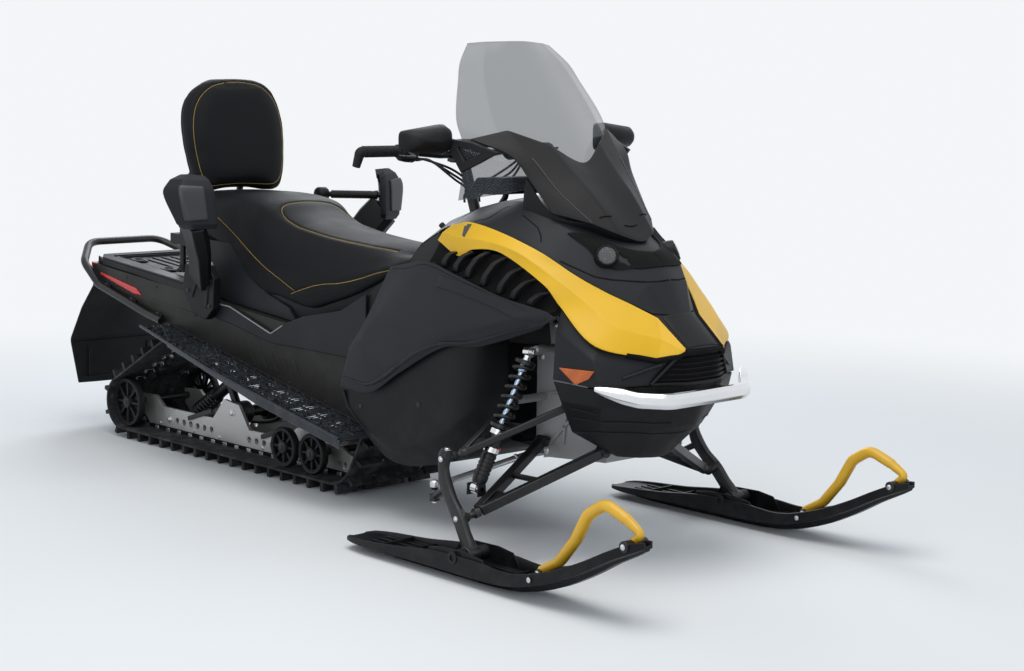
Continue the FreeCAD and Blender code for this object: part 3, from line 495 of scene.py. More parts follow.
    def build(self, name: str, sharp: float = 38) -> Piece:
        """Make the object, where edges above the sharp angle in degrees stay sharp."""
        return new_piece(name, self.verts, self.faces, sharp)


@dataclass
class Skin:
    """A sheet through a grid of points, smooth but for its creases.

    Attributes:
        rows: the grid, y as a size on one side.
        creases: numbers of the columns that fold, with the fold's width in millimetres.
        folds: numbers of the rows that fold, with the fold's width in millimetres.
        thickness: the wall in millimetres, inwards.
        steps: spans between two grid points.
        rim: the width of the rounded rim in millimetres.
    """

    rows: Sequence[Row]
    creases: dict[int, float]
    folds: dict[int, float]
    thickness: float
    steps: int
    rim: float

    @staticmethod
    def _through(points: Path, breaks: set[int], steps: int) -> list[Vector]:
        """Pass curves through points, broken where the sheet folds.

        Args:
            points: one row or column.
            breaks: the numbers of the points where the curve breaks.
            steps: spans to a stretch.

        Returns:
            The points along it.
        """
        marks = [0] + sorted(b for b in breaks if 0 < b < len(points) - 1) + [len(points) - 1]
        out: list[Vector] = [points[0].copy()]
        for a, b in zip(marks, marks[1:]):
            part = points[a:b + 1]
            out += spline(part, steps)[1:] if len(part) > 2 else [part[0].lerp(part[1], k / steps)
                for k in range(1, steps + 1)]
        return out

    def grid(self, side: Side | None) -> tuple[list[list[Vector]], dict[int, float], dict[int, float]]:
        """Work out the fine grid.

        Args:
            side: one side, or None for a sheet that runs right across.

        Returns:
            The grid and its column and row folds as numbers in the fine grid.
        """
        if side:
            rows = [mms(row, side) for row in self.rows]
            creases = dict(self.creases)
        else:
            last = len(self.rows[0]) - 1
            rows = [mms(row, Side.RIGHT) + mms(row[-2::-1], Side.LEFT) for row in self.rows]
            creases = dict(self.creases)
            creases.update({2 * last - c: w for c, w in self.creases.items()})
        across = [self._through(row, set(creases), self.steps) for row in rows]
        fine = [self._through([row[j] for row in across], set(self.folds), self.steps)
            for j in range(len(across[0]))]
        grid = [[fine[j][i] for j in range(len(fine))] for i in range(len(fine[0]))]
        return grid, *[{n * self.steps: w for n, w in marks.items()} for marks in (creases, self.folds)]

    def build(self, name: str, side: Side | None = None) -> Piece:
        """Make the sheet's object.

        Args:
            name: its name.
            side: one side, or None for a sheet that runs right across.

        Returns:
            The object.
        """
        grid, columns, lines = self.grid(side)
        wide = len(grid[0])
        work = bmesh.new()
        verts = [[work.verts.new(p) for p in row] for row in grid]
        weight = work.edges.layers.float.new("bevel_weight_edge")
        most = max([*columns.values(), *lines.values(), 0.001])
        for i in range(len(grid) - 1):
            for j in range(wide - 1):
                corners = [verts[i][j], verts[i + 1][j], verts[i + 1][j + 1], verts[i][j + 1]]
                if side is Side.RIGHT:
                    corners.reverse()
                work.faces.new(corners)
        for column, width in columns.items():
            for i in range(len(grid) - 1):
                work.edges.get((verts[i][column], verts[i + 1][column]))[weight] = width / most
        for line, width in lines.items():
            for j in range(wide - 1):
                work.edges.get((verts[line][j], verts[line][j + 1]))[weight] = width / most
        bmesh.ops.remove_doubles(work, verts=work.verts, dist=1e-6)
        mesh = bpy.data.meshes.new(name)
        work.to_mesh(mesh)
        work.free()
        mesh.shade_smooth()
        piece = link_object(name, mesh)
        if columns or lines:
            modify(piece, "fold_round", "BEVEL", limit_method="WEIGHT", width=most / 1000, segments=3)
        modify(piece, "wall", "SOLIDIFY", thickness=self.thickness / 1000, use_even_offset=True,
               use_quality_normals=True)
        return bevelled(piece, self.rim, 55)


def surface_of(piece: Piece) -> BVHTree:
    """The piece's finished surface, for setting other pieces on it."""
    bpy.context.view_layer.update()
    return BVHTree.FromObject(piece, bpy.context.evaluated_depsgraph_get())


def laid_on(tree: BVHTree, points: Path, lift: float) -> list[Laid]:
    """Lay points on a surface.

    Args:
        tree: the surface.
        points: the points near it.
        lift: how far they stand off in millimetres.

    Returns:
        Each laid point with the surface's normal there.
    """
    out = []
    for point in points:
        spot, normal, _, _ = tree.find_nearest(point)
        if (point - spot).dot(normal) < -0.02:
            normal = -normal
        out.append((spot + normal * (lift / 1000), normal))
    return out


def spots_on(tree: BVHTree, points: Path, lift: float) -> list[Vector]:
    """Points laid on a surface, without its normals."""
    return [spot for spot, _ in laid_on(tree, points, lift)]


def seam_line(tree: BVHTree, route: Path, gap: float, lift: float = 0) -> list[Laid]:
    """Lay a seam on a cushion as one even curve.

    Args:
        tree: the cushion's surface.
        route: the seam's line near it.
        gap: the distance between points in metres.
        lift: how far the points stand off in millimetres.

    Returns:
        Each point with the surface's normal there.
    """
    line = evenly(route, gap)
    for _ in range(4):
        line = spots_on(tree, line, 0)
        for _ in range(6):
            line = [line[0]] + [(a + b * 2 + c) / 4 for a, b, c in zip(line, line[1:], line[2:])] + [
                line[-1]]
    return laid_on(tree, evenly(line, gap), lift)


def stitches(name: str, tree: BVHTree, route: Path, length: float = 5.4, gap: float = 7.2,
        radius: float = 1) -> Piece:
    """Sew a row of stitches along a route on a surface.

    Args:
        name: the piece's name.
        tree: the cushion's surface.
        route: the line of the seam.
        length: a stitch's length in millimetres.
        gap: the pitch in millimetres.
        radius: the thread's radius in millimetres.

    Returns:
        The stitches as one object.
    """
    pot = Pot()
    spots = seam_line(tree, route, gap / 1000, radius * 0.4)
    for (a, normal), (b, _) in zip(spots, spots[1:]):
        along = (b - a).normalized()
        reach = along * (length / 2000)
        middle = a.lerp(b, 0.5) + normal * (radius / 2000)
        pot.tube([a.lerp(b, 0.5) - reach - normal * 0.0006, middle - reach * 0.4, middle + reach * 0.4,
            a.lerp(b, 0.5) + reach - normal * 0.0006], radius, 6)
    return pot.build(name)


def groove(name: str, tree: BVHTree, route: Path, width: float) -> Piece:
    """Draw a shut line as a thin dark strip let into a surface.

    Args:
        name: the piece's name.
        tree: the surface.
        route: the line.
        width: its width in millimetres.

    Returns:
        The strip.
    """
    spots = laid_on(tree, evenly(route, 0.006), 0.25)
    verts, faces = [], []
    for i, (spot, normal) in enumerate(spots):
        ahead = spots[min(i + 1, len(spots) - 1)][0] - spots[max(i - 1, 0)][0]
        across = ahead.cross(normal).normalized() * (width / 2000)
        verts += [spot - across, spot + normal * 0.0001, spot + across]
        if i:
            b = i * 3
            faces += [[b - 3, b - 2, b + 1, b], [b - 2, b - 1, b + 2, b + 1]]
    return new_piece(name, verts, faces, 180)


# ------------ shaders


def rgba(colour: Colour, scale: float = 1) -> tuple[float, ...]:
    """The colour times scale, opaque."""
    return (*[min(1, c * scale) for c in colour], 1)


def between(colour: Colour, first: float, last: float) -> tuple[str, dict]:
    """A mix node that runs from the colour times first to the colour times last."""
    return "Mix", {"data_type": "RGBA", "A": rgba(colour, first), "B": rgba(colour, last)}


def wire(tree: bpy.types.NodeTree, nodes: Nodes, links: str) -> None:
    """Add nodes to a tree and join them.

    Args:
        tree: where they go.
        nodes: by name, each node or its kind, with its properties (lower case) and its input
            values (upper case, or a number), underscores for spaces.
        links: pairs of "node.Output node.Input", with commas between.
    """
    made = {}
    for name, (kind, values) in nodes.items():
        if isinstance(kind, str):
            kind = tree.nodes.new(kind if kind.startswith("Node") else "ShaderNode" + kind)
        made[name] = kind
        for key, value in values.items():
            if isinstance(key, str) and key[0].islower():
                setattr(kind, key, value)
            else:
                kind.inputs[socket_key(str(key))].default_value = value
    for pair in links.split(","):
        (a, output), (b, entry) = (end.split(".") for end in pair.split())
        tree.links.new(made[a].outputs[socket_key(output)], made[b].inputs[socket_key(entry)])


def socket_key(text: str) -> str | int:
    """A socket's number, or its name with spaces."""
    return int(text) if text.isdigit() else text.replace("_", " ")


def painted(name: str, shader: dict[str, object], nodes: Nodes, links: str) -> bpy.types.Material:
    """Make a material round its Principled shader.

    Args:
        name: its name.
        shader: the shader's own input values.
        nodes: the other nodes, as in wire().
        links: the links, where "shader" is the shader.

    Returns:
        The material.
    """
    material = bpy.data.materials.new(name)
    material.use_nodes = True
    tree = material.node_tree
    wire(tree, {"shader": (tree.nodes["Principled BSDF"], shader), **nodes}, links)
    return material


@dataclass(frozen=True)
class Effect:
    """A shader node group that is built once and used by many finishes.

    Attributes:
        name: the group's name.
        inputs: its inputs and their values.
        outputs: its outputs.
        nodes: its nodes, as in wire().
        links: its links, where "start" and "end" are the group's own ends.
    """

    name: str
    inputs: dict[str, float]
    outputs: Sequence[str]
    nodes: Nodes
    links: str

    def make(self) -> bpy.types.NodeTree:
        """Build the group.

        Returns:
            Its node tree.
        """
        tree = bpy.data.node_groups.new(self.name, "ShaderNodeTree")
        for name, value in self.inputs.items():
            item = tree.interface.new_socket(name=name, in_out="INPUT", socket_type="NodeSocketFloat")
            item.default_value = value
        for name in self.outputs:
            tree.interface.new_socket(name=name, in_out="OUTPUT", socket_type="NodeSocketFloat")
        ends = {"start": ("NodeGroupInput", {}), "end": ("NodeGroupOutput", {})}
        wire(tree, {**ends, "place": ("TexCoord", {}), **self.nodes}, self.links)
        return tree


MASKED = {
    "both": ("Math", {"operation": "MULTIPLY"}),
    "much": ("Math", {"operation": "MULTIPLY", "use_clamp": True}),
}
MASKED_LINKS = (
    ", place.Object noise.Vector, noise.Fac patch.Value, patch.Result both.1, both.Value much.0,"
    "start.Amount much.1, much.Value end.Mask")
GRAIN = Effect(
    "surface_grain", {"Scale": 900, "Mottle Scale": 6}, ("Height", "Mottle"),
    {"fine": ("TexNoise", {"Detail": 3}), "slow": ("TexNoise", {"Detail": 4})},
    "place.Object fine.Vector, place.Object slow.Vector, start.Scale fine.Scale,"
    "start.Mottle_Scale slow.Scale, fine.Fac end.Height, slow.Fac end.Mottle")
WEAR = Effect(
    "edge_wear", {"Width": 0.003, "Amount": 0.5}, ("Mask",),
    {"soft": ("Bevel", {"samples": 4}), "true": ("NewGeometry", {}),
     "dot": ("VectorMath", {"operation": "DOT_PRODUCT"}),
     "edge": ("MapRange", {"From_Min": 0.99, "From_Max": 0.8}),
     "noise": ("TexNoise", {"Scale": 60, "Detail": 5}),
     "patch": ("MapRange", {"From_Min": 0.42, "From_Max": 0.62}), **MASKED},
    "start.Width soft.Radius, soft.Normal dot.0, true.Normal dot.1, dot.Value edge.Value,"
    "edge.Result both.0" + MASKED_LINKS)
DUST = Effect(
    "snow_dust", {"Amount": 0.3, "Top": 0.5}, ("Mask",),
    {"split": ("SeparateXYZ", {}), "low": ("MapRange", {"From_Min": 0, "To_Min": 1, "To_Max": 0}),
     "noise": ("TexNoise", {"Scale": 22, "Detail": 8, "Roughness": 0.65}),
     "patch": ("MapRange", {"From_Min": 0.45, "From_Max": 0.75}), **MASKED},
    "place.Object split.Vector, split.Z low.Value, start.Top low.From_Max, low.Result both.0"
    + MASKED_LINKS)
PEBBLE = Effect(
    "vinyl_pebble", {"Scale": 420}, ("Height",),
    {"cells": ("TexVoronoi", {"feature": "DISTANCE_TO_EDGE"}), "shape": ("MapRange", {"From_Max": 0.22}),
     "noise": ("TexNoise", {"Scale": 1400}), "both": ("Math", {"operation": "MULTIPLY_ADD", 1: 0.3})},
    "place.Object cells.Vector, start.Scale cells.Scale, cells.Distance shape.Value,"
    "place.Object noise.Vector, noise.Fac both.0, shape.Result both.2, both.Value end.Height")


@dataclass(frozen=True)
class Finish:
    """A grained, slightly mottled surface with worn edges and dust.

    Attributes:
        name: the material's name.
        slot: the record's slot that it mostly dresses.
        colour: the base colour, linear.
        worn: the colour of worn edges, linear; on the footboards it is partly a painted highlight.
        roughness: the middle roughness.
        spread: how far the mottle moves the roughness.
        metallic: 1 for bare metal.
        grain: the grain's scale.
        bump: the grain's strength.
        wear: how much edge wear shows.
        wear_width: the wear's width in metres.
        dust: how much dust lies on it.
        dust_top: the height in metres where the dust ends.
        coat: the clear coat's weight.
        coat_roughness: the clear coat's roughness.
        sheen: the sheen's weight.
        specular: the specular level.
        pebble: whether the grain is pebbled vinyl.
        dirt: the dust's colour.
    """

    name: str
    slot: str
    colour: Colour
    worn: Colour = (0.12, 0.12, 0.125)
    roughness: float = 0.5
    spread: float = 0.12
    metallic: float = 0
    grain: float = 900
    bump: float = 0.12
    wear: float = 0.35
    wear_width: float = 0.002
    dust: float = 0
    dust_top: float = 0.5
    coat: float = 0
    coat_roughness: float = 0.1
    sheen: float = 0
    specular: float = 0.5
    pebble: bool = False
    dirt: Colour = (0.42, 0.45, 0.48)

    def make(self, groups: Groups) -> bpy.types.Material:
        """Build the material.

        Args:
            groups: the shared groups by name.

        Returns:
            The material.
        """
        low, high = max(0.02, self.roughness - self.spread), min(1, self.roughness + self.spread)
        nodes = {"grain": ("Group", {"node_tree": groups["surface_grain"], "Scale": self.grain,
            "Mottle_Scale": 7}), "tint": between(self.colour, 0.86, 1.14), "spread": ("MapRange",
            {"From_Min": 0.3, "From_Max": 0.7, "To_Min": low, "To_Max": high}),
            "bump": ("Bump", {"Strength": self.bump, "Distance": 0.0006}),}
        links = "grain.Mottle tint.Factor, grain.Mottle spread.Value, spread.Result shader.Roughness"
        last = "tint"
        for group, colour, values in (
                ("edge_wear", self.worn, {"Width": self.wear_width, "Amount": self.wear}),
                ("snow_dust", self.dirt, {"Amount": self.dust, "Top": self.dust_top})):
            if values["Amount"]:
                over = group + "_over"
                nodes[group] = ("Group", {"node_tree": groups[group], **values})
                nodes[over] = ("Mix", {"data_type": "RGBA", "B": rgba(colour)})
                links += f", {group}.Mask {over}.Factor, {last}.Result {over}.A"
                last = over
        if self.pebble:
            nodes["pebble"] = ("Group", {"node_tree": groups["vinyl_pebble"], "Scale": self.grain})
        links += (f", {last}.Result shader.Base_Color, {'pebble' if self.pebble else 'grain'}.Height"
                  " bump.Height, bump.Normal shader.Normal")
        return painted(self.name, {
            "Metallic": self.metallic, "Coat_Weight": self.coat, "Coat_Roughness": self.coat_roughness,
            "Sheen_Weight": self.sheen, "Specular_IOR_Level": self.specular}, nodes, links)


@dataclass(frozen=True)
class ClearSheet:
    """Tinted clear plastic.

    Attributes:
        name: the material's name.
        slot: the record's slot that it dresses.
        colour: the tint, linear.
        alpha: how solid it looks.
        roughness: the gloss.
    """

    name: str
    slot: str
    colour: Colour
    alpha: float
    roughness: float

    def make(self, groups: Groups) -> bpy.types.Material:
        """Build the material.

        Args:
            groups: the shared groups by name.

        Returns:
            The material.
        """
        material = painted(self.name, {"Alpha": self.alpha, "Specular_IOR_Level": 0.25}, {
            "grain": ("Group", {"node_tree": groups["surface_grain"], "Scale": 300, "Mottle_Scale": 3}),
            "tint": between(self.colour, 0.94, 1.06),
            "spread": ("MapRange", {"To_Min": self.roughness * 0.6, "To_Max": self.roughness * 1.5}),
        }, "grain.Mottle tint.Factor, tint.Result shader.Base_Color, grain.Mottle spread.Value,"
           "spread.Result shader.Roughness")
        material.use_transparency_overlap = True
        return material


@dataclass(frozen=True)
class Reflector:
    """Coloured lens plastic with small prisms behind its face, and a painted glow.

    Attributes:
        name: the material's name.
        slot: the record's slot that it dresses.
        colour: the lens colour, linear.
        glow: a painted glow, a little emission so that it reads as a lit reflector though no lamp in it is
            on.
    """

    name: str
    slot: str
    colour: Colour
    glow: float

    def make(self, _groups: Groups) -> bpy.types.Material:
        """Build the material.

        Args:
            _groups: none of them is used.

        Returns:
            The material.
        """
        # painted glow: the lens gives off a little light so that it looks lit, though no lamp lights it
        shader = {"Roughness": 0.16, "Coat_Weight": 0.25, "Emission_Strength": self.glow}
        return painted(self.name, shader, {
            "place": ("TexCoord", {}),
            "cells": ("TexVoronoi", {"distance": "MANHATTAN", "Scale": 260, "Randomness": 0.1}),
            "mix": between(self.colour, 1.15, 0.7),
            "bump": ("Bump", {"Strength": 0.5, "Distance": 0.0008}),
        }, "place.Object cells.Vector, cells.Distance mix.Factor, mix.Result shader.Base_Color,"
           "mix.Result shader.Emission_Color, cells.Distance bump.Height, bump.Normal shader.Normal")


class Finishes:
    """Every finish on the machine, by a plain word."""

    ALL = (
        Finish("charcoal_plastic", "body_plastic", (0.0118, 0.0127, 0.016), (0.05, 0.052, 0.058),
               roughness=0.5, spread=0.06, bump=0.1, wear=0.22, dust=0.05, dust_top=0.55, specular=0.22),
        Finish("black_plastic", "body_plastic", (0.005, 0.0051, 0.006), (0.04, 0.04, 0.043), roughness=0.5,
               spread=0.06, bump=0.14, wear=0.2, dust=0.04, specular=0.22),
        # painted highlight: a lighter copy of the body plastic, for faces and ridges that catch the light
        Finish("lit_plastic", "body_plastic", (0.032, 0.033, 0.037), (0.08, 0.082, 0.088), roughness=0.36,
               spread=0.05, bump=0.1, wear=0.2, specular=0.4),
        Finish("deep_black", "body_plastic", (0.003, 0.003, 0.0034), roughness=0.8, wear=0, bump=0.05,
               specular=0.15),
        Finish("golden_panel", "panel_yellow", (0.72, 0.425, 0.019), (0.8, 0.54, 0.1), roughness=0.42,
               spread=0.05, grain=500, bump=0.03, wear=0.12, coat=0.12, coat_roughness=0.2, specular=0.26),
        Finish("golden_loop", "loop_yellow", (0.72, 0.41, 0.019), (0.83, 0.56, 0.13), roughness=0.42,
               bump=0.08, wear=0.25, coat=0.2, coat_roughness=0.25),
        Finish("saddle_vinyl", "seat_vinyl", (0.0068, 0.0072, 0.009), (0.03, 0.03, 0.033), roughness=0.58,
               spread=0.05, grain=420, bump=0.3, wear=0, specular=0.13, pebble=True),
        Finish("gold_thread", "seat_vinyl", (0.42, 0.27, 0.03), (0.5, 0.35, 0.08), roughness=0.6,
               grain=2600, bump=0.5, wear=0, sheen=0.3),
        Finish("track_rubber", "track_rubber", (0.012, 0.012, 0.013), (0.035, 0.035, 0.036),
               roughness=0.72, grain=420, bump=0.35, wear=0.4, wear_width=0.003, dust=0.18, dust_top=0.55,
               specular=0.3),
        Finish("soft_rubber", "grip_rubber", (0.007, 0.007, 0.0078), (0.03, 0.03, 0.03), roughness=0.6,
               grain=700, bump=0.3, wear=0.2, specular=0.3),
        Finish("bronze_tunnel", "tunnel_metal", (0.0195, 0.019, 0.0172), (0.09, 0.085, 0.08),
               roughness=0.46, metallic=0.25, grain=600, bump=0.06, wear=0.25, dust=0.05, dust_top=0.7,
               specular=0.26),
        # the pale blue worn colour on the footboard's edges and teeth is partly real wear and partly a
        # painted highlight
        Finish("steel_blue_board", "board_metal", (0.03, 0.035, 0.043), (0.3, 0.34, 0.4), roughness=0.3,
               metallic=0.6, grain=500, bump=0.1, wear=0.8, wear_width=0.004, dust=0.12, dust_top=0.7,
               specular=0.4),
        Finish("rail_alloy", "bright_metal", (0.52, 0.52, 0.505), (0.7, 0.7, 0.7), roughness=0.42,
               metallic=0.75, grain=350, bump=0.12, wear=0.3, dust=0.12, dust_top=0.3),
        Finish("black_enamel", "black_metal", (0.0065, 0.0065, 0.0075), (0.08, 0.08, 0.08), roughness=0.36,
               spread=0.06, grain=300, bump=0.05, wear=0.3, dust=0.05, specular=0.4),
        Finish("bright_alloy", "bright_metal", (0.78, 0.79, 0.81), (0.9, 0.9, 0.92), roughness=0.2,
               spread=0.06, metallic=1, grain=240, bump=0.03, wear=0.2),
        Finish("satin_alloy", "bright_metal", (0.6, 0.61, 0.63), (0.8, 0.8, 0.82), roughness=0.34,
               metallic=1, grain=300, bump=0.06, wear=0.3),
        Finish("cast_alloy", "cast_metal", (0.3, 0.3, 0.305), (0.5, 0.5, 0.51), roughness=0.5,
               metallic=0.6, grain=260, bump=0.4, wear=0.4, dust=0.06),
        Finish("forged_steel", "dark_steel", (0.024, 0.0245, 0.026), (0.16, 0.16, 0.16), roughness=0.42,
               metallic=0.5, grain=240, bump=0.3, wear=0.4, dust=0.06, dust_top=0.4),
        Finish("zinc_bolt", "bright_metal", (0.62, 0.63, 0.65), (0.8, 0.8, 0.82), roughness=0.3,
               metallic=1, grain=500, bump=0.05, wear=0.2),
        Finish("shaft_chrome", "bright_metal", (0.34, 0.43, 0.53), (0.6, 0.65, 0.7), roughness=0.16,
               spread=0.04, metallic=1, grain=300, bump=0.02, wear=0),
        Finish("ski_black", "ski_plastic", (0.005, 0.005, 0.0058), (0.04, 0.04, 0.042), roughness=0.42,
               spread=0.06, grain=260, bump=0.06, wear=0.25, dust=0.04, dust_top=0.25, specular=0.2),
        Finish("lamp_mirror", "lamp_clear", (0.13, 0.133, 0.14), (0.4, 0.4, 0.4), roughness=0.26,
               metallic=0.8, bump=0.3, grain=160, wear=0),
        Finish("adjuster_red", "black_metal", (0.55, 0.012, 0.015), (0.7, 0.1, 0.1), roughness=0.3,
               metallic=0.4, wear=0.1),
        Finish("mirror_face", "bright_metal", (0.75, 0.77, 0.79), roughness=0.04, spread=0.02, metallic=1,
               bump=0, wear=0),
        Finish("dark_screen", "body_plastic", (0.006, 0.007, 0.009), roughness=0.12, spread=0.04, bump=0,
               wear=0, coat=1, coat_roughness=0.03),
        ClearSheet("smoke_screen", "windshield_clear", (0.048, 0.058, 0.068), 0.43, 0.12),
        ClearSheet("lamp_glass", "lamp_clear", (0.12, 0.125, 0.13), 0.3, 0.05),
        Reflector("lens_red", "lamp_red", (0.6, 0.008, 0.01), 0.16),
        Reflector("lens_amber", "lamp_red", (0.58, 0.118, 0.003), 0.05),
    )

    def __init__(self) -> None:
        """Make them all."""
        groups = {effect.name: effect.make() for effect in (GRAIN, WEAR, DUST, PEBBLE)}
        self.made = {finish.name: (finish.make(groups), finish.slot) for finish in self.ALL}

    def __getitem__(self, name: str) -> tuple[bpy.types.Material, str]:
        """The material of that name and the slot that it mostly dresses."""
        return self.made[name]


# ------------ studio


@dataclass
class Studio:
    """The pale floor, the soft light and the camera."""

    camera_at: Point = (4736.77, -3861.56, 1333.69)
    azimuth: float = 47.0982
    elevation: float = 7.7098
    roll: float = 0.6857
    lens: float = 67.137
    floor_half: float = 60
    floor_drop: float = 0.0015
    backdrop: Colour = (0.9, 0.92, 0.94)

    def build(self) -> None:
        """Make the whole studio."""
        self._camera()
        self._floor()
        self._world()
        self._lamps()
        bpy.context.scene.view_settings.view_transform = "Standard"

    def _camera(self) -> None:
        """Place the camera."""
        a, e, r = (math.radians(v) for v in (self.azimuth, self.elevation, self.roll))
        back = Vector((math.sin(a) * math.cos(e), -math.cos(a) * math.cos(e), math.sin(e)))
        right = Vector((math.cos(a), math.sin(a), 0))
        up = back.cross(right)
        turn = Matrix((right * math.cos(r) + up * math.sin(r), up * math.cos(r) - right * math.sin(r),
            back))
        camera = link_object("camera", bpy.data.cameras.new("camera"))
        camera.data.lens = self.lens
        camera.data.sensor_width = 36
        camera.data.clip_end = 300
        camera.matrix_world = Matrix.Translation(mm(self.camera_at)) @ turn.transposed().to_4x4()
        bpy.context.scene.camera = camera

    def _floor(self) -> None:
        """Lay the floor, which fades into the background far off."""
        h, z = self.floor_half, -self.floor_drop
        floor = new_piece("floor", [(-h, -h, z), (h, -h, z), (h, h, z), (-h, h, z)], [[0, 1, 2, 3]])
        material = bpy.data.materials.new("pale_floor")
        material.use_nodes = True
        material.node_tree.nodes.clear()
        wire(material.node_tree, {
            "out": ("OutputMaterial", {}), "mix": ("MixShader", {}), "place": ("TexCoord", {}),
            "near": ("BsdfDiffuse", {"Color": (0.82, 0.84, 0.86, 1)}),
            "far": ("Emission", {"Color": rgba(self.backdrop)}),
            "reach": ("VectorMath", {"operation": "LENGTH"}),
            "fade": ("MapRange", {"interpolation_type": "SMOOTHSTEP", "From_Min": 1.9, "From_Max": 4.6}),
        }, "place.Object reach.0, reach.Value fade.Value, fade.Result mix.Fac, near.BSDF mix.1,"
           "far.Emission mix.2, mix.Shader out.Surface")
        floor.data.materials.append(material)

    def _world(self) -> None:
        """Set a pale world whose light is plain and whose background is near white."""
        world = bpy.context.scene.world = bpy.data.worlds.new("studio")
        world.use_nodes = True
        world.node_tree.nodes.clear()
        most = ("Math", {"operation": "MAXIMUM"})
        wire(world.node_tree, {
            "out": ("OutputWorld", {}), "mix": ("MixShader", {}), "path": ("LightPath", {}),
            "light": ("Background", {"Color": (0.88, 0.94, 1, 1), "Strength": 0.5}),
            "seen": ("Background", {"Color": rgba(self.backdrop), "Strength": 1}), "one": most, "two": most,
        }, "path.Is_Camera_Ray one.0, path.Is_Glossy_Ray one.1, one.Value two.0,"
           "path.Is_Transmission_Ray two.1, two.Value mix.Fac, light.Background mix.1,"
           "seen.Background mix.2, mix.Shader out.Surface")

    def _lamps(self) -> None:
        """Hang large soft lamps over and beside the machine."""
        for name, at, size, power, tint in (
                ("key", (1.2, -1, 4.6), 3.6, 118, (1, 0.98, 0.95)),
                ("side", (3.6, -4.6, 2.4), 2.6, 48, (0.95, 0.97, 1)),
                ("rim", (-3.4, 2.6, 3.2), 2.4, 76, (0.92, 0.96, 1))):
            lamp = link_object(name, bpy.data.lights.new(name, "AREA"))
            lamp.data.shape = "SQUARE"
            lamp.data.size = size
            lamp.data.energy = power
            lamp.data.color = tint
            lamp.location = at
            lamp.rotation_mode = "QUATERNION"
            lamp.rotation_quaternion = (Vector(at) - Vector((0.1, 0, 0.5))).to_track_quat("Z", "Y")


# ------------ what every sub-assembly shares


@dataclass
class Assembly:
    """A part of the machine that builds and dresses its own pieces.

    Attributes:
        looks: the finishes.
        home: the body that its pieces ride on, unless they say another.
    """

    looks: Finishes
    home: Body = Body.CHASSIS

    def put(self, piece: Piece, finish: str, nodes: Sequence[str] = (), body: Body | None = None,
            slot: str = "") -> Piece:
        """Dress a new piece and put it on its body.

        Args:
            piece: the object.
            finish: its finish's name.
            nodes: the CAD nodes that it stands for.
            body: the body that it rides on, where it isn't the assembly's own.
            slot: the record's slot, where it isn't the finish's usual one; it is not used.

        Returns:
            The same object.
        """
        material, usual = self.looks[finish]
        piece.data.materials.append(material)
        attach(piece, (body or self.home).value)
        slot or usual
        if nodes:
            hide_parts(*nodes)
        return piece

    def sheet(self, skin: Skin, name: str, finish: str, nodes: Sequence[str] = (),
              side: Side | None = None, slot: str = "") -> Piece:
        """Make a sheet, on one side or right across, and put() it."""
        return self.put(skin.build(name, side), finish, nodes, slot=slot)

    def cast(self, pot: Pot, name: str, finish: str, nodes: Sequence[str] = (), body: Body | None = None,
            slot: str = "", edge: float = 0, rounds: int = 2, angle: float = 32,
            sharp: float = 38) -> Piece:
        """Make a pot's piece, its edges above an angle rounded by edge millimetres, and put() it."""
        piece = pot.build(name, sharp)
        return self.put(bevelled(piece, edge, angle, rounds) if edge else piece, finish, nodes, body, slot)

    def keep(self, node: str, finish: str, edge: float = 0) -> Piece:
        """Dress a CAD node that stays.

        Args:
            node: its name.
            finish: the finish's name.
            edge: the width in millimetres of its rounded edges, or 0.

        Returns:
            The node's object.
        """
        item = frame["nodes"][node]
        item.data.materials.clear()
        item.data.materials.append(self.looks[finish][0])
        item.data.polygons.foreach_set("material_index", [0] * len(item.data.polygons))
        if edge:
            modify(item, "joined_edges", "WELD", merge_threshold=1e-5)
            bevelled(item, edge, 28)
        return item

    def build(self) -> None:
        """Make every piece."""


def band_on(name: str, tree: BVHTree, one: Path, other: Path, lift: float, steps: int) -> Piece:
    """Lay a plate on a surface between two lines.

    Args:
        name: the piece's name.
        tree: the surface.
        one: the points of one edge, in metres.
        other: as many points of the other edge.
        lift: how far it stands off in millimetres.
        steps: how finely it follows the surface.

    Returns:
        The plate.
    """
    verts, faces = [], []
    for a, b in zip(one, other):
        verts += spots_on(tree, [a.lerp(b, j / steps) for j in range(steps + 1)], lift)
    wide = steps + 1
    for i in range(len(one) - 1):
        for j in range(steps):
            faces.append([i * wide + j, i * wide + j + 1, (i + 1) * wide + j + 1, (i + 1) * wide + j])
    piece = new_piece(name, verts, faces, 40)
    modify(piece, "wall", "SOLIDIFY", thickness=lift / 500, offset=0)
    return bevelled(piece, min(1.2, lift * 0.8), 50)


def patch(name: str, tree: BVHTree, corners: Path, lift: float, steps: int) -> Piece:
    """Lay a four-cornered plate on a surface.

    Args:
        name: the piece's name.
        tree: the surface.
        corners: its corners in order, in metres.
        lift: how far it stands off in millimetres.
        steps: how finely it follows the surface.

    Returns:
        The plate.
    """
    a, b, c, d = corners
    shares = [i / steps for i in range(steps + 1)]
    return band_on(name, tree, [a.lerp(d, k) for k in shares], [b.lerp(c, k) for k in shares], lift, steps)


# ------------ track and skid


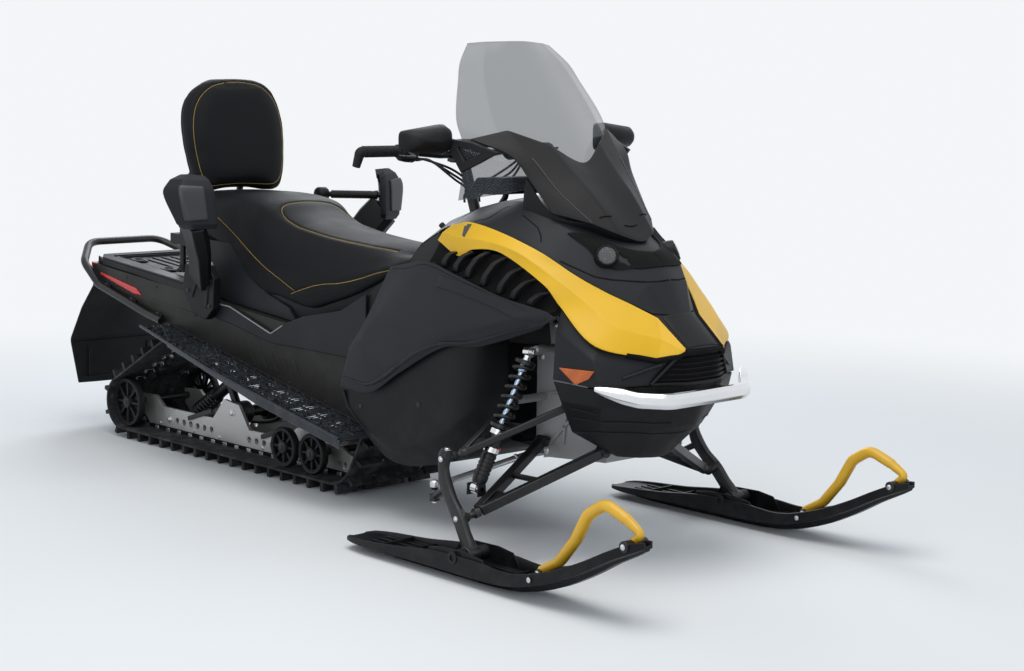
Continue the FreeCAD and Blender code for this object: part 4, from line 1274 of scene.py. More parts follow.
@dataclass
class BeltLoop:
    """The line of the belt's inner face round its wheels, in (x, z) millimetres.

    Attributes:
        circles: (x, z, radius) of what the belt wraps, in order.
    """

    circles: Sequence[tuple[float, float, float]]

    def line(self, grow: float = 0) -> list[Vector]:
        """Work out the loop.

        Args:
            grow: how far outside the inner face it runs, in millimetres.

        Returns:
            Its points in metres, closed, at y = 0.
        """
        rings = [(x, z, r + grow) for x, z, r in self.circles]
        runs = []
        for (x1, z1, r1), (x2, z2, r2) in zip(rings, rings[1:] + rings[:1]):
            along = Vector((x2 - x1, 0, z2 - z1))
            span = along.length
            along.normalize()
            across = Vector((-along.z, 0, along.x))
            lean = (r1 - r2) / span
            out = along * lean + across * math.sqrt(1 - lean * lean)
            runs.append((Vector((x1, 0, z1)) + out * r1, Vector((x2, 0, z2)) + out * r2))
        points = []
        for index, (leave, arrive) in enumerate(runs):
            points += [leave, arrive]
            x, z, _ = rings[(index + 1) % len(rings)]
            centre = Vector((x, 0, z))
            nxt = runs[(index + 1) % len(runs)][0]
            a, b = arrive - centre, nxt - centre
            turn = math.atan2(a.x * b.z - a.z * b.x, a.x * b.x + a.z * b.z)
            if turn > 0:
                turn -= 2 * math.pi
            for k in range(1, 16):
                angle = turn * k / 16
                c, s = math.cos(angle), math.sin(angle)
                points.append(centre + Vector((a.x * c - a.z * s, 0, a.x * s + a.z * c)))
        return [p / 1000 for p in points + points[:1]]


@dataclass
class TrackAndSkid(Assembly):
    """The belt with its clips, the wheels, the rails and what holds them."""

    belt: float = 8
    lug: float = 32
    wheels: Sequence[tuple[str, float, float, float]] = (("idlers_rear", -1309, 130, 89.5),
        ("idlers_mid_rear", -341, 108, 67.5), ("idlers_mid_front", -186, 108, 67.5))
    wheel_offset: float = 165
    rail_offset: float = 95
    clip_pitch: float = 72.6

    def build(self) -> None:
        """Make every piece."""
        self.keep("track", "track_rubber", 1.6)
        self._belt_detail()
        for node, x, z, radius in self.wheels:
            self._wheel_pair(node, x, z, radius)
        self._rails()
        self._springs()
        for node in ("skid_rear_arm", "skid_front_arm", "skid_shock"):
            self.keep(node, "black_enamel", 0.8)
        self.keep("drive_axle", "black_plastic", 1.5)

    def _loop(self) -> BeltLoop:
        """The belt's inner line."""
        low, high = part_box("drive_axle")
        sprocket = (low.x + high.x) * 500
        return BeltLoop([(-1309, 130, 90), (-880, 392, 62), (sprocket, 308, 92), (-60, 170, 130)])

    def _belt_detail(self) -> None:
        """Set the guide clips and the drive lugs inside the belt, and the ribs on its outside."""
        loop = self._loop()
        clips, lugs, ribs = Pot(), Pot(), Pot()
        inner = evenly(loop.line(0), self.clip_pitch / 1000)
        for a, b in zip(inner, inner[1:]):
            along = (b - a).normalized()
            inward = Vector((along.z, 0, -along.x))
            for side in (-1, 1):
                at = a + Vector((0, side * self.rail_offset / 1000, 0))
                for edge in (-1, 1):
                    wall = at + Vector((0, edge * 0.017, 0))
                    clips.beam(wall - along * 0.011, wall + along * 0.011, 3, 22, inward)
                clips.beam(at - along * 0.011, at + along * 0.011, 34, 3, inward)
                tooth = a.lerp(b, 0.5) + Vector((0, side * 0.062, 0))
                corners = (-0.014, -0.009), (0.014, -0.009), (0.014, 0.009), (-0.014, 0.009)
                lugs.slab([tooth + along * x + Vector((0, y, 0)) for x, y in corners], inward * 0.02)
        outer = evenly(loop.line(self.belt + 1), self.clip_pitch / 1000)
        for a, b in zip(outer, outer[1:]):
            along = (b - a).normalized()
            outward = Vector((-along.z, 0, along.x))
            middle = a.lerp(b, 0.5)
            for y in (-0.15, -0.045, 0.045, 0.15):
                spot = middle + Vector((0, y, 0))
                ribs.beam(spot - along * 0.024, spot + along * 0.024, 12, 7, outward)
        self.cast(clips, "belt_clips", "zinc_bolt", edge=0.7)
        self.cast(lugs, "belt_drive_lugs", "track_rubber", edge=2.5)
        self.cast(ribs, "belt_ribs", "track_rubber", edge=1.5)

    def _wheel_pair(self, node: str, x: float, z: float, radius: float) -> None:
        """Turn two spoked wheels and their axle.

        Args:
            node: the CAD node that they stand for.
            x: the axle's x in millimetres.
            z: its height.
            radius: the wheels' radius.
        """
        tyre, rim, metal = Pot(), Pot(), Pot()
        metal.lathe(mm((x, -176, z)), Vector((0, 1, 0)), [(0, 11), (1, 12), (351, 12), (352, 11)], 20)
        for side in (-1, 1):
            centre = mm((x, side * self.wheel_offset, z))
            out = Vector((0, side, 0))
            tyre.revolve(centre, out, [(-12, radius - 9), (-13, radius - 3), (-9, radius), (9, radius),
                (13, radius - 3), (12, radius - 9)], 56)
            rim.revolve(centre, out, [(-12, radius - 14), (-12, radius - 8.5), (12, radius - 8.5),
                (12, radius - 14), (3, radius - 17), (-3, radius - 17)], 56)
            rim.revolve(centre, out, [(-19, 13), (-19, 22), (-5, 27), (5, 27), (15, 22), (15, 13)], 32)
            for k in range(8):
                angle = 2 * math.pi * k / 8
                way = Vector((math.cos(angle), 0, math.sin(angle)))
                rim.beam(centre + way * 0.022, centre + way * (radius - 14) / 1000, 9, 17, out)
                nxt = Vector((math.cos(angle + math.pi / 8), 0, math.sin(angle + math.pi / 8)))
                back = out * 0.004
                end = centre + nxt * (radius - 15) / 1000 - back
                rim.beam(centre + nxt * 0.024 - back, end, 16, 3, out)
            metal.lathe(centre + out * 0.011, out, [(0, 15), (4, 15), (5, 13)], 24)
            metal.bolt(centre + out * 0.015, out, 8, 5)
        self.cast(tyre, node + "_tyres", "soft_rubber", sharp=60, slot="wheel_plastic")
        self.cast(rim, node + "_wheels", "black_plastic", [node], edge=1.2, slot="wheel_plastic")
        self.cast(metal, node + "_axle", "forged_steel")

    def _rails(self) -> None:
        """Dress the rails, and add the slide shoes, bolts and braces."""
        self.keep("skid_rails", "rail_alloy", 0.9)
        floor = self.lug + self.belt + 1
        under = [(-1262, floor), (-60, floor), (-25, floor + 6), (5, floor + 22), (22, floor + 48)]
        shoe, bolts, braces = Pot(), Pot(), Pot()
        for side in (-1, 1):
            line = rounded([mm((x, side * self.rail_offset, z + 5)) for x, z in under], 0.08)
            rings = []
            for point, (across, over) in zip(line, frames_along(line)):
                y = Vector((0, 0.013, 0))
                over = Vector((0, 1, 0)).cross(across) if abs(across.y) < 0.5 else over
                up = over.normalized() * 0.006
                if up.z < 0:
                    up = -up
                rings.append([point - y - up * 0.9, point + y - up * 0.9, point + y + up, point - y + up])
            shoe.rings(rings)
            out = Vector((0, side, 0))
            face = side * (self.rail_offset + 6.5)
            for x, up in ((-1140, 40), (-740, 118), (-300, 88), (-30, 34)):
                bolts.bolt(mm((x, face, floor + up)), out, 9, 7)
            for x in (-1200, -980, -820, -560, -400, -240, -110):
                bolts.bolt(mm((x, face, floor + 20)), out, 4.5, 4)
            for a, b in (((-560, 60), (-420, 108)), ((-1010, 62), (-860, 110))):
                braces.beam(mm((a[0], face + side * 4, floor + a[1])),
                    mm((b[0], face + side * 4, floor + b[1])), 6, 16, UP)
        self.cast(shoe, "slide_shoes", "deep_black", edge=1.5, slot="wheel_plastic")
        self.cast(bolts, "rail_bolts", "zinc_bolt")
        self.cast(braces, "rail_braces", "black_enamel", edge=1)

    def _springs(self) -> None:
        """Wind the rear torsion springs and the coil round the skid's shock."""
        floor = self.lug + self.belt + 1
        pot = Pot()
        for side in (-1, 1):
            centre = mm((-740, side * 34, floor + 118))
            pot.coil(centre, centre + Vector((0, side * 0.044, 0)), 34, 5, 5)
            start = centre + Vector((0.034, side * 0.044, 0))
            pot.tube(spline([start, mm((-720, side * 80, floor + 80)), mm((-840, side * 82, floor + 50)),
                mm((-1000, side * 82, floor + 42))], 6), 5, 10)
        low, high = mm((-1140, 0, floor + 40)), mm((-826, 0, floor + 236))
        along = high - low
        pot.coil(low + along * 0.12, low + along * 0.5, 26, 4.5, 7)
        self.cast(pot, "skid_springs", "black_enamel", sharp=60)


# ------------ tunnel and running boards


@dataclass
class TunnelAndBoards(Assembly):
    """The folded tunnel with its stampings, and the two footboards."""

    half: float = 220
    board_wide: float = 375

    @staticmethod
    def top(x: float) -> float:
        """Height of the tunnel's top sheet at x, in millimetres."""
        return 637 - (x + 1460) * 0.086

    @staticmethod
    def low(x: float) -> float:
        """Height of the tunnel's lower edge at x, in millimetres."""
        return 227 + (284 - x) * 0.187

    def build(self) -> None:
        """Make every piece."""
        self.keep("tunnel", "bronze_tunnel", 3)
        marks, rivets, edge = Pot(), Pot(), Pot()
        face = self.half - 0.5
        for side in Side:
            out = side.out
            for k in range(5):
                x = -470 + 62 * k
                z = self.top(x) - 118
                corners = (0, 0), (12, 0), (44, 58), (32, 58)
                marks.slab([mm((x + a, face, z - b), side) for a, b in corners], out * 0.0028)
            for k in range(9):
                x = -1420 + 196 * k
                for z in (self.low(x) + 14, self.top(x) - 15)[:2 if x < 180 else 1]:
                    rivets.lathe(mm((x, face, z), side), out, [(0, 5), (1.4, 4.6), (2.6, 2.4)], 12)
            edge.beam(mm((-1455, self.half + 1, self.low(-1455) + 3), side),
                mm((240, self.half + 1, self.low(240) + 3), side), 5, 7, UP)
            edge.beam(mm((-1300, self.half + 0.5, self.top(-1300) - 70), side),
                mm((-780, self.half + 0.5, self.top(-780) - 70), side), 3, 10, UP)
            self._board(side)
        self.cast(marks, "tunnel_stampings", "bronze_tunnel", edge=1.2)
        self.cast(rivets, "tunnel_rivets", "bronze_tunnel")
        self.cast(edge, "tunnel_edges", "bronze_tunnel", edge=1)

    def _board(self, side: Side) -> None:
        """Dress one footboard and raise its teeth.

        Args:
            side: which one.
        """
        self.keep("running_board_" + side.word, "steel_blue_board", 1.5)
        teeth, rail = Pot(), Pot()
        inner = self.half + 0.5
        for x in range(-950, 205, 13):
            reach = self.board_wide if x > -500 else self.board_wide + (x + 500) * 0.093
            for a, b in ((0, 13), (13, 0)):
                rail.beam(mm((x + a, inner + 6, self.low(x) - 3), side),
                    mm((x + b, reach - 6, self.low(x) - 3), side), 4, 2.4, UP)
        for column in range(29):
            x = 161 - 39 * column
            reach = self.board_wide if x > -500 else self.board_wide + (x + 500) * 0.093
            for row in range(7):
                y = inner + 10 + row * (reach - inner - 22) / 6
                z = self.low(x)
                flip = 1 if (row + column) % 2 else -1
                teeth.slab([mm((x - 9, y - 2, z - 2), side), mm((x + 9, y - 2, z - 2), side),
                    mm((x + 5 * flip, y - 2, z + 9), side)], side.out * 0.0042)
        edge = [(-958, 331), (-500, 373), (216, 373)]
        path = [mm((x, y, self.low(x) + 2), side) for x, y in edge]
        rail.tube(rounded(path, 0.08), 5, 10)
        self.cast(teeth, "board_teeth_" + side.word, "steel_blue_board", sharp=20)
        self.cast(rail, "board_rim_" + side.word, "steel_blue_board")


# ------------ rear end


@dataclass
class RearEnd(Assembly):
    """The flap, the grab loop, the luggage deck, the lamps and the hitch."""

    loop: Sequence[Point] = ((-972, 238, 471), (-1070, 238, 488), (-1385, 238, 561), (-1489, 238, 637),
        (-1600, 150, 700))
    deck_from: Point = (-1460, 0, 637.6)
    deck_slope: float = 0.086

    def build(self) -> None:
        """Make every piece."""
        self._flap()
        self._loop()
        self._deck()
        self._lamps()
        self.keep("hitch", "black_enamel", 1.5)

    def _on_deck(self, x: float, y: float, up: float) -> Vector:
        """A point on the deck from its own x, y and height in millimetres."""
        run = 1 / math.hypot(1, self.deck_slope)
        fall = self.deck_slope * run
        return mm((self.deck_from[0] + x * run + up * fall, y, self.deck_from[2] - x * fall + up * run))

    def _flap(self) -> None:
        """Fold the flap and press its ribs."""
        rows = [[(-1653, 178, 160), (-1655, 90, 157), (-1655, 0, 156)], [(-1646, 214, 330),
            (-1648, 110, 330), (-1648, 0, 330)], [(-1560, 212, 462), (-1562, 110, 465), (-1562, 0, 466)],
            [(-1472, 205, 566), (-1474, 100, 572), (-1474, 0, 574)],]
        flap = self.sheet(Skin(rows, {1: 5}, {1: 14, 2: 10}, 6, 6, 2), "snow_flap_sheet", "soft_rubber",
            ["snow_flap"], slot="flap_rubber")
        tree = surface_of(flap)
        ribs = Pot()
        for push in (-12, 12):
            for y in (-128, 128):
                a, b = spots_on(tree, [mm((-1651 + push, y, z)) for z in (186, 296)], 1.5)
                ribs.beam(a, b, 16, 9, AHEAD)
            for z, reach in ((180, 168), (316, 196)):
                line = [mm((-1651 + push, y, z)) for y in range(-reach, reach + 1, 14)]
                ribs.tube(spots_on(tree, line, 0.5), 4, 8)
        self.cast(ribs, "flap_ribs", "charcoal_plastic", edge=1.5, slot="flap_rubber")

    def _loop(self) -> None:
        """Bend the grab loop and its brackets."""
        pot, feet = Pot(), Pot()
        path = rounded(both_sides(self.loop), 0.085, 8)
        pot.tube(path, 15, 18, flat=0.86)
        for side in Side:
            for x, z in ((-1010, 478), (-1180, 514), (-1350, 553)):
                feet.beam(mm((x - 22, 224, z), side), mm((x + 22, 224, z - 5), side), 10, 34, UP)
                feet.bolt(mm((x, 229, z + 12), side), side.out, 6, 5)
        self.cast(pot, "grab_loop", "black_enamel", ["rear_bumper"], sharp=60)
        self.cast(feet, "grab_loop_feet", "black_enamel", edge=1.2)

    def _deck(self) -> None:
        """Dress the deck and set its sockets, ribs and side covers."""
        self.keep("rear_deck", "charcoal_plastic", 4)
        rings, ribs, bores = Pot(), Pot(), Pot()
        up = (self._on_deck(0, 0, 10) - self._on_deck(0, 0, 0)).normalized()
        for x in (140, 340):
            for y in (-110, 110):
                rings.revolve(self._on_deck(x, y, 20), up, [(0, 12), (0, 34), (5, 34), (9, 29), (9, 18),
                    (4, 13)], 32)
                bores.lathe(self._on_deck(x, y, 17), up, [(0, 12.5), (4.6, 12.5)], 24)
        for y in (-60, -20, 20, 60):
            ribs.beam(self._on_deck(95, y, 22), self._on_deck(535, y, 22), 12, 5, up)
        for x in (60, 580):
            ribs.beam(self._on_deck(x, -165, 31), self._on_deck(x, 165, 31), 10, 6, up)
        self.cast(rings, "deck_sockets", "black_plastic")
        self.cast(bores, "deck_socket_wells", "cast_alloy", slot="bright_metal")
        self.cast(ribs, "deck_ribs", "charcoal_plastic", edge=1.8)
        tail = Pot()
        for side in Side:
            outer = [self._on_deck(x, side.value * y, z) for x, y, z in ((0, 196, -6), (70, 219, -8),
                (630, 219, -8), (630, 219, 22), (70, 219, 22), (0, 196, 24))]
            tail.slab(outer, Vector((0, -side.value * 0.006, 0)))
        self.cast(tail, "deck_side_covers", "black_plastic", edge=2)

    def _lamps(self) -> None:
        """Set the tail lamp and the red side strips."""
        row = [(-1480, 200), (-1487, 180), (-1489, 90), (-1490, 0)]
        rows = [[(x - 1, y, z) for x, y in row] for z in (612, 624, 635)]
        self.sheet(Skin(rows, {1: 4}, {}, 9, 5, 1.5), "tail_lamp_lens", "lens_red", ["tail_lamp"])
        back = Pot()
        back.slab([mm((x, y, 608)) for x, y in ((-1474, -196), (-1474, 196), (-1484, 176), (-1485, -176))],
            Vector((0, 0, 0.03)))
        self.cast(back, "tail_lamp_body", "black_plastic", edge=1.5)
        strips = Pot()
        for side in Side:
            outline = [mm(p, side) for p in ((-1402, 219, 599), (-1398, 219, 606), (-1158, 219, 568),
                (-1126, 219, 546), (-1180, 219, 548))]
            strips.slab(outline, side.out * 0.005)
            corner = [mm(p, side) for p in ((-1476, 196, 604), (-1470, 196, 640), (-1432, 196, 632),
                (-1424, 196, 612))]
            strips.slab(corner, side.out * 0.022)
        self.cast(strips, "side_lamp_strips", "lens_red", edge=1.4)


# ------------ cushions


@dataclass
class Cushion:
    """A stuffed form: a closed cage that is remeshed, blown up as cloth and sewn.

    Attributes:
        name: the piece's name.
        rings: the cage as rings with the same number of points, in metres.
        voxel: the remesh size in millimetres.
        cap: how far a point may move in millimetres.
        pucker: the share of the small wrinkles that the skin keeps.
        node: the CAD node whose width and height the cushion fills, or nothing.
    """

    name: str
    rings: Sequence[Path]
    voxel: float
    cap: float
    pucker: float = 0.12
    node: str = ""

    def build(self, held: "Holder") -> Piece:
        """Make the stuffed form.

        Args:
            held: says how free a point is to swell.

        Returns:
            The cushion.
        """
        pot = Pot()
        pot.rings(self.rings)
        piece = pot.build(self.name, 180)
        modify(piece, "remesh", "REMESH", voxel_size=self.voxel / 1000, use_smooth_shade=True)
        self._apply(piece)
        rest = [v.co.copy() for v in piece.data.vertices]
        free = [held.freedom(v.normal) for v in piece.data.vertices]
        self._blow(piece)
        moves = [v.co - start for v, start in zip(piece.data.vertices, rest)]
        moves = [m.normalized() * min(m.length, self.cap / 1000) * f for m, f in zip(moves, free)]
        calm = self._calmed(piece, moves)
        for v, start, swell, pucker in zip(piece.data.vertices, rest, calm, moves):
            v.co = start + swell.lerp(pucker, self.pucker)
        if self.node:
            self._fit(piece)
        modify(piece, "settle", "SMOOTH", iterations=6)
        modify(piece, "fine", "SUBSURF", levels=1)
        self._apply(piece)
        piece.data.shade_smooth()
        return piece

    @staticmethod
    def _calmed(piece: Piece, moves: Path, rounds: int = 40) -> list[Vector]:
        """Even out how the skin's points move, so that only the broad swell is left.

        Args:
            piece: the cushion.
            moves: how far each point has moved.
            rounds: how often neighbours are averaged.

        Returns:
            The even moves.
        """
        flow = np.array(moves)
        ends = np.array([e.vertices[:] for e in piece.data.edges])
        count = np.bincount(ends.ravel(), minlength=len(flow))[:, None]
        for _ in range(rounds):
            total = np.zeros_like(flow)
            np.add.at(total, ends[:, 0], flow[ends[:, 1]])
            np.add.at(total, ends[:, 1], flow[ends[:, 0]])
            flow = 0.5 * flow + 0.5 * total / count
        return [Vector(m) for m in flow]

    def _fit(self, piece: Piece) -> None:
        """Stretch the cushion across and upward to the box of the solid that it covers.

        Args:
            piece: the cushion.
        """
        low, high = (Vector(c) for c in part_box(self.node))
        own = [[min(v.co[k] for v in piece.data.vertices), max(v.co[k] for v in piece.data.vertices)]
            for k in range(3)]
        for v in piece.data.vertices:
            for k in (1, 2):
                v.co[k] = low[k] + (v.co[k] - own[k][0]) * (high[k] - low[k]) / (own[k][1] - own[k][0])

    @staticmethod
    def _apply(piece: Piece) -> None:
        """Turn a piece's modifiers into mesh.

        Args:
            piece: the object.
        """
        bpy.context.view_layer.update()
        graph = bpy.context.evaluated_depsgraph_get()
        mesh = bpy.data.meshes.new_from_object(piece.evaluated_get(graph))
        piece.modifiers.clear()
        old = piece.data
        piece.data = mesh
        bpy.data.meshes.remove(old)

    def _blow(self, piece: Piece) -> None:
        """Let air pressure fill the cloth.

        Args:
            piece: the remeshed cage.
        """
        scene = bpy.context.scene
        cloth = piece.modifiers.new("cloth", "CLOTH")
        settings = cloth.settings
        settings.use_pressure = True
        settings.uniform_pressure_force = 4
        settings.effector_weights.gravity = 0
        settings.quality = 4
        cloth.collision_settings.use_collision = False
        cloth.collision_settings.use_self_collision = False
        for number in range(1, 21):
            scene.frame_set(number)
        graph = bpy.context.evaluated_depsgraph_get()
        blown = piece.evaluated_get(graph)
        places = [v.co.copy() for v in blown.data.vertices]
        piece.modifiers.remove(cloth)
        scene.frame_set(1)
        for v, place in zip(piece.data.vertices, places):
            v.co = place


@dataclass
class Holder:
    """Says how freely a cushion's skin may swell.

    Attributes:
        seams: routes that are sewn down.
        depth: how far a seam is drawn in, in millimetres.
        width: how wide its valley is.
        still: a direction whose faces stay flat, or None.
    """

    seams: Sequence[Path]
    depth: float
    width: float
    still: Vector | None = None

    def freedom(self, normal: Vector) -> float:
        """The share of the swell, from 0 to 1, that a point facing along normal keeps."""
        if self.still is None:
            return 1
        return max(0, min(1, (0.75 - normal.dot(self.still)) * 2))

    def sew(self, piece: Piece) -> None:
        """Draw the seams into a finished cushion.

        Args:
            piece: the cushion.
        """
        tree = surface_of(piece)
        marks = []
        for route in self.seams:
            marks += [spot for spot, _ in seam_line(tree, route, 0.004)]
        near = KDTree(len(marks))
        for i, mark in enumerate(marks):
            near.insert(mark, i)
        near.balance()
        normals = [v.normal.copy() for v in piece.data.vertices]
        for v, normal in zip(piece.data.vertices, normals):
            _, _, gap = near.find(v.co)
            reach = gap * 1000 / self.width
            if reach < 3:
                v.co -= normal * (self.depth / 1000 * math.exp(-reach * reach * 2.2))
        piece.data.update()


# ------------ seats


@dataclass
class Seating(Assembly):
    """The long two-level seat, the passenger's back cushion and the boxes under them."""

    # x, half width and height at the bottom, the waist and the shoulder, and the crown's height
    stations: Sequence[tuple[float, ...]] = (
        (-985, 160, 790, 172, 850, 140, 890, 894), (-955, 178, 790, 192, 852, 160, 906, 912),
        (-860, 186, 788, 198, 850, 166, 912, 919), (-740, 190, 776, 202, 846, 170, 914, 922),
        (-604, 194, 728, 206, 826, 172, 914, 922), (-530, 199, 674, 210, 772, 170, 908, 916),
        (-470, 201, 640, 213, 724, 166, 896, 906), (-430, 201, 624, 212, 710, 160, 882, 892),
        (-390, 201, 612, 212, 698, 154, 862, 874), (-345, 200, 612, 210, 686, 148, 846, 858),
        (-300, 198, 602, 208, 672, 142, 832, 846), (-170, 193, 586, 204, 652, 132, 810, 824),
        (-70, 188, 612, 198, 668, 124, 800, 813), (40, 182, 648, 191, 698, 114, 792, 806),
        (140, 172, 692, 180, 730, 104, 788, 801), (237, 158, 738, 165, 762, 92, 786, 799),
        (296, 114, 768, 118, 780, 74, 792, 800))
    side_seam: Sequence[Point] = ((-700, 203, 858), (-661, 206, 837), (-464, 212, 740), (-325, 211, 675),
        (-237, 208, 634))
    front_seam: Sequence[Point] = ((-262, 206, 622), (-237, 208, 634), (-162, 205, 657), (45, 192, 704),
        (267, 150, 756))

    def build(self) -> None:
        """Make every piece."""
        self._seat()
        self._backrest()
        self._base()

    def _ring(self, row: Sequence[float]) -> list[Vector]:
        """One cross section of the seat, closed and rounded.

        Args:
            row: a station.

        Returns:
            Its points in metres.
        """
        x, low_half, low, mid_half, mid, top_half, top, crown = row
        right = [(0, low), (low_half * 0.6, low), (low_half - 8, low + 1), (low_half + 2, low + 12),
            (mid_half, mid), ((mid_half + top_half) / 2 + 4, (mid + top) / 2 + 6), (top_half + 6, top - 7),
            (top_half - 16, top + 1), (top_half * 0.5, (top + crown) / 2 + 2), (0, crown)]
        half = spline([mm((x, y, z), Side.RIGHT) for y, z in right], 3)
        return half + [Vector((v.x, -v.y, v.z)) for v in half[-2:0:-1]]

    def _seat(self) -> None:
        """Stuff, sew and stitch the seat."""
        columns = [spline([Vector((r[0], r[k], r[k + 1] if k + 1 < 8 else 0)) for r in self.stations], 3)
            for k in (1, 3, 5)]
        crowns = spline([Vector((r[0], r[7], 0)) for r in self.stations], 3)
        fine = [(a.x, a.y, a.z, b.y, b.z, c.y, c.z, d.y) for a, b, c, d in zip(*columns, crowns)]
        rings = [self._ring(r) for r in fine]
        seams = [mms(s, side) for side in Side for s in (self.side_seam, self.front_seam)]
        saddle = spline(mms([(162, 98, 800), (-89, 112, 806), (-280, 122, 824), (-370, 129, 850),
            (-420, 124, 872), (-444, 100, 888), (-453, 55, 896), (-456, 0, 898)], Side.RIGHT), 8)
        whole = saddle + [Vector((v.x, -v.y, v.z)) for v in saddle[-2::-1]]
        routes = [spline(s, 8) for s in seams] + [whole]
        held = Holder(routes, 3.6, 9, Vector((0, 0, -1)))
        seat = Cushion("seat_cushion", rings, 8, 11).build(held)
        held.sew(seat)
        self.put(seat, "saddle_vinyl", ["seat"])
        pan = Pot()
        rows = [(-436, 160, 625, 560)] + [(r[0], r[1] - 16, r[2], max(r[2] - 96, 520))
            for r in self.stations[7:-1]]
        rows.append((290, 104, 764, 680))
        pan.rings([mms([(x, -half, top + 18), (x, -half, top - 8), (x, -half + 12, low), (x, half - 12,
            low), (x, half, top - 8), (x, half, top + 18)]) for x, half, top, low in rows])
        self.cast(pan, "seat_pan", "black_plastic", edge=4)
        tree = surface_of(seat)
        for number, route in enumerate(routes):
            self.put(stitches("seat_stitches_%d" % number, tree, route), "gold_thread")

    def _backrest(self) -> None:
        """Stuff and stitch the back cushion, and bend its hoop."""
        turn = Matrix.Rotation(math.radians(-8), 4, "Y")
        place = Matrix.Translation(mm((-842, 0, 930))) @ turn
        half = [(60, 2), (146, 6), (170, 30), (188, 110), (195, 195), (183, 280), (148, 334), (96, 364),
            (44, 377)]
        outline = [(-y, z) for y, z in half[::-1]] + half
        loop = spline([Vector((0, y, z)) / 1000 for y, z in outline], 3, closed=True)
        middle = Vector((0, 0, 0.19))
        rings = []
        for x, scale in ((-32, 0.55), (-36, 0.8), (-34, 0.93), (-26, 0.985), (-10, 1), (12, 1),
                (26, 0.985), (33, 0.94), (35, 0.82), (34, 0.55)):
            rings.append([place @ (middle + (p - middle) * scale + Vector((x / 1000, 0, 0))) for p in loop])
        front = [place @ (middle + (p - middle) * 0.955 + Vector((0.034, 0, 0))) for p in loop]
        edge = [place @ (p + Vector((-0.012, 0, 0))) for p in loop]
        held = Holder([front + front[:1], edge + edge[:1]], 3, 8)
        back = Cushion("back_cushion", rings, 7, 22, node="backrest").build(held)
        held.sew(back)
        self.put(back, "saddle_vinyl", ["backrest"])
        tree = surface_of(back)
        self.put(stitches("back_stitches", tree, front + front[:1]), "gold_thread")
        pot = Pot()
        path = rounded(both_sides([(-1010, 120, 634), (-1006, 120, 932), (-908, 120, 1018),
            (-926, 120, 1150)]), 0.06, 8)
        pot.tube(path, 12, 16)
        self.cast(pot, "back_hoop", "black_enamel", ["backrest_frame"], sharp=60)
        shell = Pot()
        panel = [place @ (middle + (p - middle) * 0.8 + Vector((-0.04, 0, 0))) for p in loop]
        shell.slab(panel, place.to_3x3() @ Vector((-0.01, 0, 0)))
        for side in Side:
            foot = mm((-1010, 120, 634), side)
            shell.lathe(foot, UP, [(0, 24), (3, 25), (10, 24), (14, 17), (26, 15)], 24)
        self.cast(shell, "back_shell", "charcoal_plastic", edge=3, rounds=3)

    def _base(self) -> None:
        """Dress the box under the passenger and add the side covers along the tunnel."""
        self.keep("seat_base", "charcoal_plastic", 4)
        top = TunnelAndBoards.top
        for side in Side:
            out = side.value
            ledge = Pot()
            outline = [(-775, top(-775) - 4), (-560, top(-560) + 4), (-330, top(-330) - 42),
                (-262, top(-262) - 2), (-150, top(-150) + 44), (40, 604), (168, 668), (168, 520),
                (130, top(130) - 40), (-150, top(-150) - 62), (-330, top(-330) - 78),
                (-560, top(-560) - 56), (-775, top(-775) - 52)]
            ledge.slab([mm((x, 221, z), side) for x, z in outline], Vector((0, out * 0.01, 0)))
            self.cast(ledge, "tunnel_cover_" + side.word, "charcoal_plastic", edge=3, rounds=3)
            trim = Pot()
            for a, b in (((-770, top(-770) - 8), (-560, top(-560))), ((-560, top(-560)),
                    (-332, top(-332) - 46)), ((-328, top(-328) - 46), (-264, top(-264) - 8))):
                trim.beam(mm((a[0], 231.5, a[1]), side), mm((b[0], 231.5, b[1]), side), 2.4, 4, UP)
            self.cast(trim, "tunnel_cover_trim_" + side.word, "cast_alloy", edge=0.8, slot="bright_metal")


# ------------ passenger's handholds


